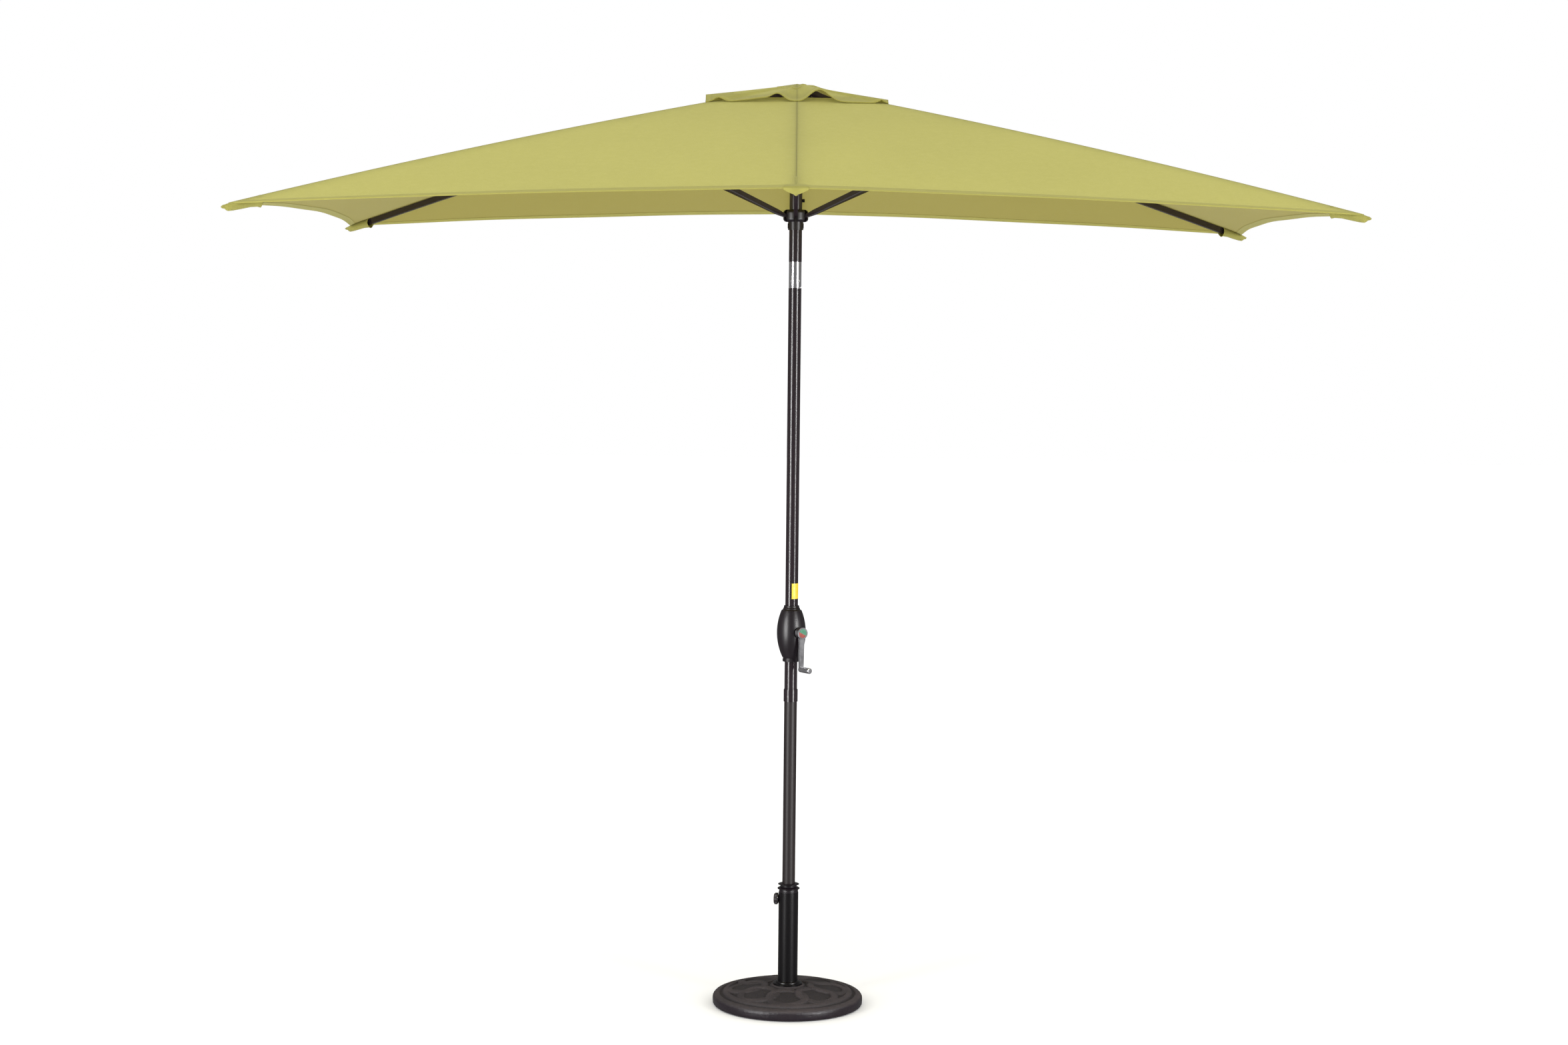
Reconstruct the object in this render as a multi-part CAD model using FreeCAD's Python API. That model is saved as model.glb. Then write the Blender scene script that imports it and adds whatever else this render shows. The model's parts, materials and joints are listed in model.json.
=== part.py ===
"""Crank-lift patio umbrella, 3 x 2 m, with a push-button tilt and a heavy round base.

Millimetres, +Z up. The origin is on the pole's axis at the ground. An azimuth is measured
from the front (-Y) towards the right (+X), so the front is 0 and the right side is 90.
Parts that stand round the pole are drawn in the XZ plane, with +X outwards, and then turned.
"""

import FreeCAD, Part
import math
import os

V = FreeCAD.Vector
Z_AXIS = V(0, 0, 1)
Y_AXIS = V(0, 1, 0)
X_AXIS = V(1, 0, 0)

# ---- canopy -------------------------------------------------------------------------------
HALF_LENGTH = 1470.0
HALF_DEPTH = 980.0
APEX_Z = 2736.0
CORNER_FALL = 330.0
CORNER_BOW = 60.0
MIDDLE_FALL = 311.0
MIDDLE_BOW = 25.0
VENT_HOLE = 0.125
VENT_CAP = 0.179
CAP_APEX_Z = 2743.0
CAP_LIFT = 4.0
CAP_EYELET_R = 15.0
END_SCALLOP = 0.0374
SIDE_SCALLOP = 0.024
FABRIC_T = 0.8
SEAM_GAP = 0.15

# ---- ribs and struts ----------------------------------------------------------------------
RIB_BELOW_FABRIC = 12.0
RIB_W = 12.0
RIB_H = 18.0
RIB_WALL = 1.0
RIB_START_R = 58.0
RIB_HOLLOW_START = 16.0
TIP_LENGTH = 25.0
TIP_PLUG_LENGTH = 22.0
TIP_NOSE_H = 16.0
TIP_NOSE_W = 11.6
TIP_BALL_R = 7.0
HUB_HINGE_R = 40.0
HUB_HINGE_Z = 2714.0
TONGUE_T = 6.0
EYE_R = 6.5
HINGE_PIN_R = 2.0
HINGE_PIN_HALF = 10.0
BRACKET_T = 1.5
BRACKET_TOP_HALF = 16.0
BRACKET_LOW_HALF = 7.0
PIVOT_BELOW_RIB = 16.5
CORNER_PIVOT_R = 615.0
MIDDLE_PIVOT_R = 620.0
RIVET_R = 2.5
RIVET_HEAD_R = 4.2
RIVET_HEAD_T = 1.6
STRUT_W = 11.0
STRUT_H = 13.0
STRUT_WALL = 1.0
STRUT_FOOT_R = 4.0
STRUT_TAPER = 34.0
STRUT_HEAD_SOLID = 22.0

# ---- poles --------------------------------------------------------------------------------
POLE_R = 19.0
POLE_WALL = 1.2
POLE_BORE_R = POLE_R - POLE_WALL
POLE_FOOT_Z = 30.0
POLE_JOINT_Z = 935.0
SPIGOT_LENGTH = 50.0
SPIGOT_NECK = 15.0
FOOT_PLUG_LENGTH = 18.0
COLLAR_LOW_Z = 917.4
COLLAR_TOP_Z = 953.6
COLLAR_R = 21.0

# ---- base ---------------------------------------------------------------------------------
BASE_R = 225.0
BASE_FOOT_Z = 2.0
RIM_ROUND = 3.0
RIM_TOP_Z = 20.0
SHOULDER_IN = 14.0
SHOULDER_Z = 33.0
SHOULDER_MID_IN = 4.0
SHOULDER_MID_Z = 28.5
DOME_MID_R = 130.0
DOME_MID_Z = 51.5
DOME_TOP_R = 46.0
DOME_TOP_Z = 60.0
RECESS_R = 34.0
RECESS_TOP_Z = 17.0
PAD_AZIMUTHS = (45, 135, 225, 315)
PAD_AT_R = 180.0
PAD_R = 20.0
PAD_T = 6.0
TUBE_R = 29.5
TUBE_WALL = 2.0
TUBE_BORE_R = TUBE_R - TUBE_WALL
TUBE_LOW_Z = 20.0
TUBE_TOP_Z = 340.0
PLATE_T = 6.0
BASE_BOLT_R = 5.0
BASE_BOLT_HEAD_R = 9.0
BASE_BOLT_LOW_Z = 7.0
BASE_BOLT_TOP_Z = 25.0
WASHER_R = 33.0
WASHER_LOW_Z = 13.8
REDUCER_LOW_Z = 327.0
CLAMP_Z = 318.0
CLAMP_AZIMUTH = -100.0
CLAMP_NUT_R = 9.0
STUD_R = 5.0
KNOB_CORE_R = 15.0
KNOB_LOBES = 6
KNOB_LOBE_R = 6.5
KNOB_LOBE_AT_R = 11.5
KNOB_CAP_R = 6.0
KNOB_START_R = TUBE_R + 3.2
KNOB_LOBE_END_R = TUBE_R + 11.5
KNOB_END_R = TUBE_R + 13.5
KNOB_CAP_END_R = TUBE_R + 15.0

# ---- crank --------------------------------------------------------------------------------
CRANK_Z = 1127.0
CRANK_AZIMUTH = 34.0
CRANK_LENGTH = 108.0
SHAFT_R = 4.0
SHAFT_START_R = -25.0
SHAFT_END_R = 50.0
SPOOL_CORE_R = 10.75
SPOOL_FLANGE_R = 15.0
SPOOL_HALF = 8.5
SPOOL_FLANGE_T = 1.5
CRANK_HUB_R = 17.5
CRANK_HUB_START_R = 45.0
CRANK_HUB_END_R = 61.0
CRANK_BOSS_R = 14.0
CRANK_BOSS_START_R = 38.0
ARM_START_R = 50.5
ARM_END_R = 57.0
ARM_HALF_W = 9.0
ARM_LOW_HALF_W = 7.0
ARM_SHOULDER = 16.0
GRIP_PIN_R = 3.0
GRIP_PIN_SHORT = 8.0
BADGE_R = 13.0
BADGE_T = 0.55
GRIP_R = 8.5
GRIP_LENGTH = 43.0
GRIP_ROUND = 2.5
CASE_LOW_Z = 1051.2
CASE_BELLY_Z = 1118.0
CASE_TOP_Z = 1190.9
CASE_LOW_R = 26.5
CASE_BELLY_R = 43.0
CASE_TOP_R = 30.0
CASE_WALL = 3.0
CASE_OPENING_R = 17.2
CASE_SPLIT = 0.05
CASE_GROOVE_W = 1.0
CASE_GROOVE_DEPTH = 0.7
CASE_SCREW_Z = (1174.0, 1084.0)
CASE_SCREW_X = 24.0
CASE_SCREW_Y = 16.0
CASE_SCREW_R = 2.0
CASE_SCREW_HEAD_R = 3.7
CASE_SCREW_HEAD_T = 2.4
CASE_POST_R = 4.8
LABEL_LOW_Z = 1226.0
LABEL_TOP_Z = 1272.0
LABEL_T = 0.32

# ---- tilt ---------------------------------------------------------------------------------
TILT_Z = 2168.0
TILT_AZIMUTH = 128.0
TILT_LIMIT = 36.0
SLEEVE_LOW_Z = 2147.3
SLEEVE_TOP_Z = 2224.0
SLEEVE_R = 18.5
KNUCKLE_T = 10.0
KNUCKLE_R = 9.3
KNUCKLE_LOW_Z = 2105.0
NOTCH_STEP = 12.0
NOTCH_DEPTH = 1.2
NOTCH_W = 2.0
TILT_PIN_R = 4.0
SLEEVE_WALL = 1.6
SLEEVE_SPIGOT = 32.0
BUTTON_R = 5.0
BUTTON_STEM_R = 2.0
SPRING_R = 3.4
SPRING_BORE_R = 2.4

# ---- top hub and runner -------------------------------------------------------------------
HUB_R = 46.5
HUB_LOW_Z = 2700.0
HUB_TOP_Z = 2726.0
HUB_ROUND = 3.0
HUB_NECK_R = 22.5
HUB_NECK = 18.0
NUT_R = 11.0
NUT_WASHER_R = 20.0
POLE_TOP_Z = 2690.0
SHEAVE_AZIMUTH = 151.85
SHEAVE_R = 11.0
SHEAVE_AT_R = 13.5
SHEAVE_Z = 2708.0
SHEAVE_T = 6.0
AXLE_HALF = 8.0
RUNNER_R = 37.0
RUNNER_BORE_R = 19.4
RUNNER_LOW_Z = 2341.0
RUNNER_TOP_Z = 2377.0
RUNNER_NECK_Z = 2317.6
RUNNER_NECK_R = 22.5
RUNNER_ROUND = 10.0
RUNNER_SLOT_R = 28.0
EAR_R = 7.5
EAR_END_R = 23.6
RUNNER_PIVOT_R = 36.0
RUNNER_PIVOT_Z = 2358.0
STOP_Z = 2403.5
CORD_LOCK_Z = 2438.6
STOP_SCREW_R = 2.5

# ---- lift cord ----------------------------------------------------------------------------
CORD_R = 1.25
CORD_HOLE_R = CORD_R + 0.6
CORD_ALONG_TILT = 7.5
CORD_ASIDE = 11.0
CORD_END_ABOVE_RUNNER = 15.0

RUN = 0.05  # radial clearance of a turning fit
PRESS = 0.02  # radial clearance of a fixed pin
SIDE_PLAY = 0.3  # clearance beside a moving part
LAP = 0.5  # how far welded pieces run into each other

REACH = math.hypot(HALF_LENGTH, HALF_DEPTH)
CORNER_AZIMUTH = math.degrees(math.atan2(HALF_LENGTH, HALF_DEPTH))
CORD_DOWN_R = SHEAVE_AT_R + SHEAVE_R

# name, azimuth, horizontal reach, fall and bow of the fabric line, distance of the strut's pivot
RIBS = [
    ("front_middle", 0.0, HALF_DEPTH, MIDDLE_FALL, MIDDLE_BOW, MIDDLE_PIVOT_R),
    ("front_right", CORNER_AZIMUTH, REACH, CORNER_FALL, CORNER_BOW, CORNER_PIVOT_R),
    ("back_right", 180 - CORNER_AZIMUTH, REACH, CORNER_FALL, CORNER_BOW, CORNER_PIVOT_R),
    ("back_middle", 180.0, HALF_DEPTH, MIDDLE_FALL, MIDDLE_BOW, MIDDLE_PIVOT_R),
    ("back_left", 180 + CORNER_AZIMUTH, REACH, CORNER_FALL, CORNER_BOW, CORNER_PIVOT_R),
    ("front_left", -CORNER_AZIMUTH, REACH, CORNER_FALL, CORNER_BOW, CORNER_PIVOT_R),
]


# ---- general shapes -----------------------------------------------------------------------
def direction(azimuth):
    a = math.radians(azimuth)
    return V(math.sin(a), -math.cos(a), 0)


def place(azimuth, radius, z):
    return direction(azimuth) * radius + Z_AXIS * z


def turned(shape, azimuth):
    """A shape drawn towards +X, turned to face an azimuth."""
    out = shape.copy()
    out.rotate(V(0, 0, 0), Z_AXIS, azimuth - 90)
    return out


def rod(radius, low, top):
    return Part.makeCylinder(radius, top - low, V(0, 0, low), Z_AXIS)


def tube(outer, inner, low, top):
    return rod(outer, low, top).cut(rod(inner, low - 1, top + 1))


def rod_x(radius, start, end, z, y=0.0):
    return Part.makeCylinder(radius, end - start, V(start, y, z), X_AXIS)


def rod_y(radius, half_length, x, z, y=0.0):
    return Part.makeCylinder(radius, 2 * half_length, V(x, y - half_length, z), Y_AXIS)


def block(x0, x1, y0, y1, z0, z1):
    return Part.makeBox(x1 - x0, y1 - y0, z1 - z0, V(x0, y0, z0))


def revolved(outline):
    """A closed outline of (radius, z) points, turned about the pole's axis."""
    points = [V(r, 0, z) for r, z in outline]
    face = Part.Face(Part.makePolygon(points + points[:1]))
    return face.revolve(V(0, 0, 0), Z_AXIS, 360)


def plate(outline, half_width):
    """A closed outline of (x, z) points, made as thick as twice half_width about y = 0."""
    points = [V(x, -half_width, z) for x, z in outline]
    face = Part.Face(Part.makePolygon(points + points[:1]))
    return face.extrude(V(0, 2 * half_width, 0))


def joined(solids):
    out = solids[0]
    for solid in solids[1:]:
        out = out.fuse(solid)
    return out.removeSplitter()


def cord_solid(points):
    """A round cord along straight stretches, with a ball at each turn."""
    pieces = []
    for a, b in zip(points, points[1:]):
        pieces.append(Part.makeCylinder(CORD_R, (b - a).Length, a, b - a))
    for p in points[1:-1]:
        pieces.append(Part.makeSphere(CORD_R, p))
    return joined(pieces)


def save(node, *solids):
    shape = solids[0] if len(solids) == 1 else Part.makeCompound(list(solids))
    if not shape.isValid():
        print("not valid:", node)
    shape.exportStep("parts/" + node + ".step")
    print(node, len(shape.Solids), round(shape.Volume / 1000, 2), "cm3")


# ---- the fabric's surface -----------------------------------------------------------------
def fabric_z(rib, share):
    """Height of the fabric over a rib, at a share of the way from the centre to its tip."""
    fall, bow = rib[3], rib[4]
    return APEX_Z - fall * share - bow * share * share


def fabric_point(first, second, share, across):
    """A point of the panel between two ribs: share outwards, across from first to second."""
    both_corners = first[2] == second[2]
    depth = END_SCALLOP if both_corners else SIDE_SCALLOP
    pulled = share * (1 - depth * 4 * across * (1 - across) * share)
    a = place(first[1], first[2] * pulled, fabric_z(first, pulled))
    b = place(second[1], second[2] * pulled, fabric_z(second, pulled))
    return a * (1 - across) + b * across


def triangle(*corners):
    return Part.Face(Part.makePolygon(list(corners) + [corners[0]]))


def sheet_solid(grid, rims):
    """A thin closed solid about a grid of points, with upright faces along its rims."""
    up = V(0, 0, FABRIC_T / 2)
    faces = []
    for upper, lower in zip(grid, grid[1:]):
        for j in range(len(upper) - 1):
            a, b, c, d = upper[j], upper[j + 1], lower[j + 1], lower[j]
            for side in (up, up * -1):
                faces.append(triangle(a + side, b + side, c + side))
                faces.append(triangle(a + side, c + side, d + side))
    for rim in rims:
        for a, b in zip(rim, rim[1:]):
            edge = Part.makePolygon([a - up, b - up, b + up, a + up, a - up])
            faces.append(Part.Face(edge))
    solid = Part.Solid(Part.makeShell(faces))
    return solid if solid.Volume > 0 else solid.reversed()


def gore(index):
    """The cloth that belongs to one rib: half of the panel on each side of it."""
    here = RIBS[index]
    before = RIBS[index - 1]
    after = RIBS[(index + 1) % len(RIBS)]
    steps = 7
    halves = 4
    grid = []
    for i in range(steps + 1):
        share = VENT_HOLE + (1 - VENT_HOLE) * i / steps
        gap = SEAM_GAP / (2 * here[2] * share)
        row = []
        for j in range(halves):
            row.append(fabric_point(before, here, share, 0.5 + gap + (0.5 - gap) * j / halves))
        for j in range(halves + 1):
            row.append(fabric_point(here, after, share, (0.5 - gap) * j / halves))
        grid.append(row)
    there = grid[0] + [row[-1] for row in grid[1:]]
    back = grid[-1][-2::-1] + [row[0] for row in grid[-2::-1]]
    return sheet_solid(grid, [there + back])


def cap_point(rib, share):
    """A point of the vent cap over a rib, at a share of the way to its corner."""
    edge = place(rib[1], rib[2] * VENT_CAP, fabric_z(rib, VENT_CAP) + CAP_LIFT)
    centre = place(rib[1], CAP_EYELET_R, CAP_APEX_Z)
    return centre * (1 - share) + edge * share


def vent_cap():
    """The loose cap over the vent hole: one closed ring of cloth round the eyelet."""
    steps = 3
    halves = 4
    grid = []
    for i in range(steps + 1):
        row = []
        for n, rib in enumerate(RIBS):
            a = cap_point(rib, i / steps)
            b = cap_point(RIBS[(n + 1) % len(RIBS)], i / steps)
            row += [a * (1 - j / halves) + b * (j / halves) for j in range(halves)]
        grid.append(row + row[:1])
    return sheet_solid(grid, [grid[0], grid[-1]])


# ---- ribs and struts ----------------------------------------------------------------------
def rib_line(rib, r):
    """Centre of a rib at a distance from the pole, in the rib's own upright plane."""
    return V(r, 0, fabric_z(rib, r / rib[2]) - RIB_BELOW_FABRIC)


def rib_down(rib, r):
    """The direction square to a rib and away from the fabric."""
    slope = (rib[3] + 2 * rib[4] * r / rib[2]) / rib[2]
    return V(-slope, 0, -1).normalize()


def bar(rib, start, end, half_height, half_width):
    """A solid stretch of a rib, bowed like the fabric line above it."""
    edges = []
    corners = []
    for side in (-1, 1):
        line = []
        for r in (start, (start + end) / 2, end):
            line.append(rib_line(rib, r) + rib_down(rib, r) * (side * half_height))
        edges.append(Part.Arc(*line).toShape())
        corners.append((line[0], line[2]))
    edges.append(Part.LineSegment(corners[0][0], corners[1][0]).toShape())
    edges.append(Part.LineSegment(corners[0][1], corners[1][1]).toShape())
    face = Part.Face(Part.Wire(Part.__sortEdges__(edges)))
    face.translate(V(0, -half_width, 0))
    return face.extrude(V(0, 2 * half_width, 0))


def strut_pivot(rib):
    return rib_line(rib, rib[5]) + rib_down(rib, rib[5]) * PIVOT_BELOW_RIB


def rib_tube(rib):
    """A bowed steel channel, flattened to a tongue at the hub, with the strut's bracket."""
    end = rib[2] - TIP_LENGTH
    half_h, half_w = RIB_H / 2, RIB_W / 2
    outside = bar(rib, RIB_START_R, end, half_h, half_w)
    inside = bar(rib, RIB_START_R + RIB_HOLLOW_START, end + 5, half_h - RIB_WALL, half_w - RIB_WALL)
    hinge = V(HUB_HINGE_R, 0, HUB_HINGE_Z)
    root = rib_line(rib, RIB_START_R + 3)
    up = V(0, 0, EYE_R)
    corners = [hinge - up, root - up, root + up, hinge + up]
    tongue = plate([(p.x, p.z) for p in corners], TONGUE_T / 2)
    eye = rod_y(EYE_R, TONGUE_T / 2, hinge.x, hinge.z)
    body = joined([outside.cut(inside), tongue, eye])
    body = body.cut(rod_y(HINGE_PIN_R + RUN, TONGUE_T, hinge.x, hinge.z))
    return joined([body] + [bracket_cheek(rib, side) for side in (-1, 1)])


def bracket_cheek(rib, side):
    """One cheek of the bracket that is welded to a rib's side and hangs below it."""
    pivot = strut_pivot(rib)
    middle = rib_line(rib, rib[5])
    along = V(-rib_down(rib, rib[5]).z, 0, rib_down(rib, rib[5]).x)
    upper, lower = along * BRACKET_TOP_HALF, along * BRACKET_LOW_HALF
    corners = [middle - upper, middle + upper, pivot + lower, pivot - lower]
    cheek = plate([(p.x, p.z) for p in corners], BRACKET_T / 2)
    cheek = cheek.fuse(rod_y(BRACKET_LOW_HALF, BRACKET_T / 2, pivot.x, pivot.z))
    cheek.translate(V(0, side * (RIB_W + BRACKET_T) / 2, 0))
    return cheek.cut(rod_y(RIVET_R + PRESS, RIB_W, pivot.x, pivot.z))


def strut_rivet(rib):
    pivot = strut_pivot(rib)
    outer = RIB_W / 2 + BRACKET_T
    half_t = RIVET_HEAD_T / 2
    shank = rod_y(RIVET_R, outer + half_t + 0.4, pivot.x, pivot.z)
    heads = []
    for side in (-1, 1):
        heads.append(rod_y(RIVET_HEAD_R, half_t, pivot.x, pivot.z, side * (outer + half_t + RUN)))
    return joined([shank] + heads)


def strut(rib):
    """A steel tube with solid ends, from the rib's bracket to its narrow foot in the runner."""
    top = strut_pivot(rib)
    foot = V(RUNNER_PIVOT_R, 0, RUNNER_PIVOT_Z)
    length = (top - foot).Length
    half = STRUT_H / 2
    side = [(0, STRUT_FOOT_R), (STRUT_TAPER, half), (length, half)]
    outline = side + [(x, -z) for x, z in reversed(side)]
    hollow_w = STRUT_W / 2 - STRUT_WALL
    hollow_h = half - STRUT_WALL
    hollow_end = length - STRUT_HEAD_SOLID
    hollow = block(STRUT_TAPER + 4, hollow_end, -hollow_w, hollow_w, -hollow_h, hollow_h)
    head = rod_y(half, STRUT_W / 2, length, 0)
    toe = rod_y(STRUT_FOOT_R, STRUT_W / 2, 0, 0)
    body = joined([plate(outline, STRUT_W / 2).cut(hollow), head, toe])
    body = body.cut(rod_y(RIVET_R + RUN, STRUT_W, length, 0))
    body = body.cut(rod_y(STRUT_FOOT_R / 2, STRUT_W, 0, 0))
    rise = math.degrees(math.atan2(top.z - foot.z, top.x - foot.x))
    body.rotate(V(0, 0, 0), Y_AXIS, -rise)
    body.translate(foot)
    return body


def rib_tip(rib):
    """The moulded tip that plugs the rib's end and fills the canopy's pocket."""
    end = rib[2] - TIP_LENGTH
    inside = RIB_WALL + 0.1
    plug = bar(rib, end - TIP_PLUG_LENGTH, end + LAP, RIB_H / 2 - inside, RIB_W / 2 - inside)
    nose = bar(rib, end + 0.1, rib[2] - 4, TIP_NOSE_H / 2, TIP_NOSE_W / 2)
    ball = Part.makeSphere(TIP_BALL_R, rib_line(rib, rib[2] - 3))
    return joined([plug, nose, ball])


def save_ribs():
    for index, rib in enumerate(RIBS):
        name, azimuth = rib[0], rib[1]
        save("rib_" + name, turned(rib_tube(rib), azimuth), turned(strut_rivet(rib), azimuth))
        save("rib_tip_" + name, turned(rib_tip(rib), azimuth))
        save("strut_" + name, turned(strut(rib), azimuth))
        save("canopy_" + name, gore(index))


# ---- base ---------------------------------------------------------------------------------
def base_disc():
    """Cast disc: upright rim with a round shoulder, a low dome, and a recess for the bolt."""
    hole = TUBE_R + RUN
    rim_low = V(BASE_R - RIM_ROUND, 0, BASE_FOOT_Z)
    rim_middle = V(BASE_R - 0.3 * RIM_ROUND, 0, BASE_FOOT_Z + 0.3 * RIM_ROUND)
    rim_foot = V(BASE_R, 0, BASE_FOOT_Z + RIM_ROUND)
    rim_top = V(BASE_R, 0, RIM_TOP_Z)
    shoulder_middle = V(BASE_R - SHOULDER_MID_IN, 0, SHOULDER_MID_Z)
    shoulder = V(BASE_R - SHOULDER_IN, 0, SHOULDER_Z)
    dome_middle = V(DOME_MID_R, 0, DOME_MID_Z)
    top = V(DOME_TOP_R, 0, DOME_TOP_Z)
    inner = [top, V(hole, 0, DOME_TOP_Z), V(hole, 0, RECESS_TOP_Z), V(RECESS_R, 0, RECESS_TOP_Z),
             V(RECESS_R, 0, BASE_FOOT_Z), rim_low]
    edges = [Part.LineSegment(a, b).toShape() for a, b in zip(inner, inner[1:])]
    edges.append(Part.Arc(rim_low, rim_middle, rim_foot).toShape())
    edges.append(Part.LineSegment(rim_foot, rim_top).toShape())
    edges.append(Part.Arc(rim_top, shoulder_middle, shoulder).toShape())
    edges.append(Part.Arc(shoulder, dome_middle, top).toShape())
    disc = Part.Face(Part.Wire(edges)).revolve(V(0, 0, 0), Z_AXIS, 360)
    for pad in foot_pads(0.1):
        disc = disc.cut(pad)
    return disc


def foot_pads(play=0.0):
    """Four rubber pads, let into the underside of the disc."""
    pads = []
    for azimuth in PAD_AZIMUTHS:
        at = place(azimuth, PAD_AT_R, 0)
        pads.append(Part.makeCylinder(PAD_R + play, PAD_T + play, at, Z_AXIS))
    return pads


def base_tube():
    """Steel tube with a welded foot plate and a welded nut for the clamp knob."""
    inside = TUBE_BORE_R + LAP
    wall = tube(TUBE_R, TUBE_BORE_R, TUBE_LOW_Z, TUBE_TOP_Z)
    foot = tube(inside, BASE_BOLT_R + 0.1, TUBE_LOW_Z, TUBE_LOW_Z + PLATE_T)
    nut = turned(rod_x(CLAMP_NUT_R, inside, TUBE_R + 2.5, CLAMP_Z), CLAMP_AZIMUTH)
    drilled = turned(rod_x(STUD_R + RUN, POLE_R + 1, TUBE_R + 10, CLAMP_Z), CLAMP_AZIMUTH)
    return joined([wall, foot, nut]).cut(drilled)


def base_bolt():
    """Bolt that pulls the tube down on the disc, and its large washer in the recess."""
    washer = tube(WASHER_R, BASE_BOLT_R + 0.1, WASHER_LOW_Z, RECESS_TOP_Z - 0.1)
    head = rod(BASE_BOLT_HEAD_R, BASE_BOLT_LOW_Z, WASHER_LOW_Z - 0.1)
    shank = rod(BASE_BOLT_R, WASHER_LOW_Z - 0.8, BASE_BOLT_TOP_Z)
    return washer, joined([head, shank])


def foot_collar():
    """Two-step collar round the foot of the tube."""
    bore = TUBE_R + RUN
    low = DOME_TOP_Z + RUN
    return revolved([
        (bore, low), (DOME_TOP_R - 2, low), (DOME_TOP_R - 2, low + 2.95), (42, 65.5), (37.5, 66),
        (36.5, 69), (33, 71), (bore, 71),
    ])


def reducer():
    """Moulded ring in the tube's mouth, with two thin lips, that guides the pole."""
    bore = POLE_R + 0.1
    skirt = TUBE_BORE_R - 0.1
    seat = TUBE_TOP_Z + 0.1
    lower_lip, upper_lip = 33.0, 31.5
    neck = 24.5
    return revolved([
        (bore, REDUCER_LOW_Z), (skirt, REDUCER_LOW_Z), (skirt, seat), (28.6, seat), (28.6, 345),
        (27.5, 348), (lower_lip, 350.5), (lower_lip, 352.5), (27.0, 356), (neck, 357.5),
        (neck, 361), (upper_lip, 364), (upper_lip, 365), (24.0, 367.5), (bore, 367.5),
    ])


def clamp_knob():
    """Star knob and its stud, which pinches the pole in the tube."""
    solids = [rod_x(KNOB_CORE_R, KNOB_START_R, KNOB_END_R, CLAMP_Z),
              rod_x(KNOB_CAP_R, KNOB_END_R - LAP, KNOB_CAP_END_R, CLAMP_Z)]
    for n in range(KNOB_LOBES):
        angle = 2 * math.pi * n / KNOB_LOBES
        y = KNOB_LOBE_AT_R * math.cos(angle)
        z = CLAMP_Z + KNOB_LOBE_AT_R * math.sin(angle)
        solids.append(rod_x(KNOB_LOBE_R, KNOB_START_R, KNOB_LOBE_END_R, z, y))
    stud_end = TUBE_R + 10
    knob = joined(solids).cut(rod_x(STUD_R, TUBE_R, stud_end, CLAMP_Z))
    stud = rod_x(STUD_R, POLE_R + 0.3, stud_end - 0.1, CLAMP_Z)
    return turned(knob, CLAMP_AZIMUTH), turned(stud, CLAMP_AZIMUTH)


def save_base():
    save("base_disc", base_disc())
    save("foot_pads", *foot_pads())
    save("base_tube", base_tube())
    save("base_bolt", *base_bolt())
    save("foot_collar", foot_collar())
    save("reducer_ring", reducer())
    save("clamp_knob", *clamp_knob())


# ---- lower and middle pole ----------------------------------------------------------------
def lower_pole():
    """Lower tube with a narrowed spigot that enters the middle tube."""
    wall = tube(POLE_R, POLE_BORE_R, POLE_FOOT_Z, POLE_JOINT_Z)
    spigot_r = POLE_BORE_R - 0.1
    spigot_bore = spigot_r - POLE_WALL
    neck_z = POLE_JOINT_Z - SPIGOT_NECK
    spigot = tube(spigot_r, spigot_bore, neck_z, POLE_JOINT_Z + SPIGOT_LENGTH)
    neck = tube(POLE_BORE_R + SIDE_PLAY, spigot_bore, neck_z, POLE_JOINT_Z)
    return joined([wall, neck, spigot])


def pole_foot_plug():
    head = rod(POLE_R - 0.2, POLE_FOOT_Z - 3.7, POLE_FOOT_Z - RUN)
    stem = rod(POLE_BORE_R - 0.1, POLE_FOOT_Z - 1, POLE_FOOT_Z + FOOT_PLUG_LENGTH)
    return joined([head, stem])


def middle_pole():
    wall = tube(POLE_R, POLE_BORE_R, POLE_JOINT_Z + 0.1, SLEEVE_LOW_Z - 0.3)
    return wall.cut(turned(rod_x(SHAFT_R + RUN, -30, 30, CRANK_Z), CRANK_AZIMUTH))


def joint_collar():
    return tube(COLLAR_R, POLE_R + 0.03, COLLAR_LOW_Z, COLLAR_TOP_Z)


def case_barrel(inset):
    """Solid barrel in the shape of the crank case, drawn in by a wall's thickness."""
    low, top = V(CASE_LOW_R - inset, 0, CASE_LOW_Z), V(CASE_TOP_R - inset, 0, CASE_TOP_Z)
    edges = [
        Part.Arc(low, V(CASE_BELLY_R - inset, 0, CASE_BELLY_Z), top).toShape(),
        Part.LineSegment(top, V(0, 0, CASE_TOP_Z)).toShape(),
        Part.LineSegment(V(0, 0, CASE_TOP_Z), V(0, 0, CASE_LOW_Z)).toShape(),
        Part.LineSegment(V(0, 0, CASE_LOW_Z), low).toShape(),
    ]
    return Part.Face(Part.Wire(edges)).revolve(V(0, 0, 0), Z_AXIS, 360)


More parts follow.
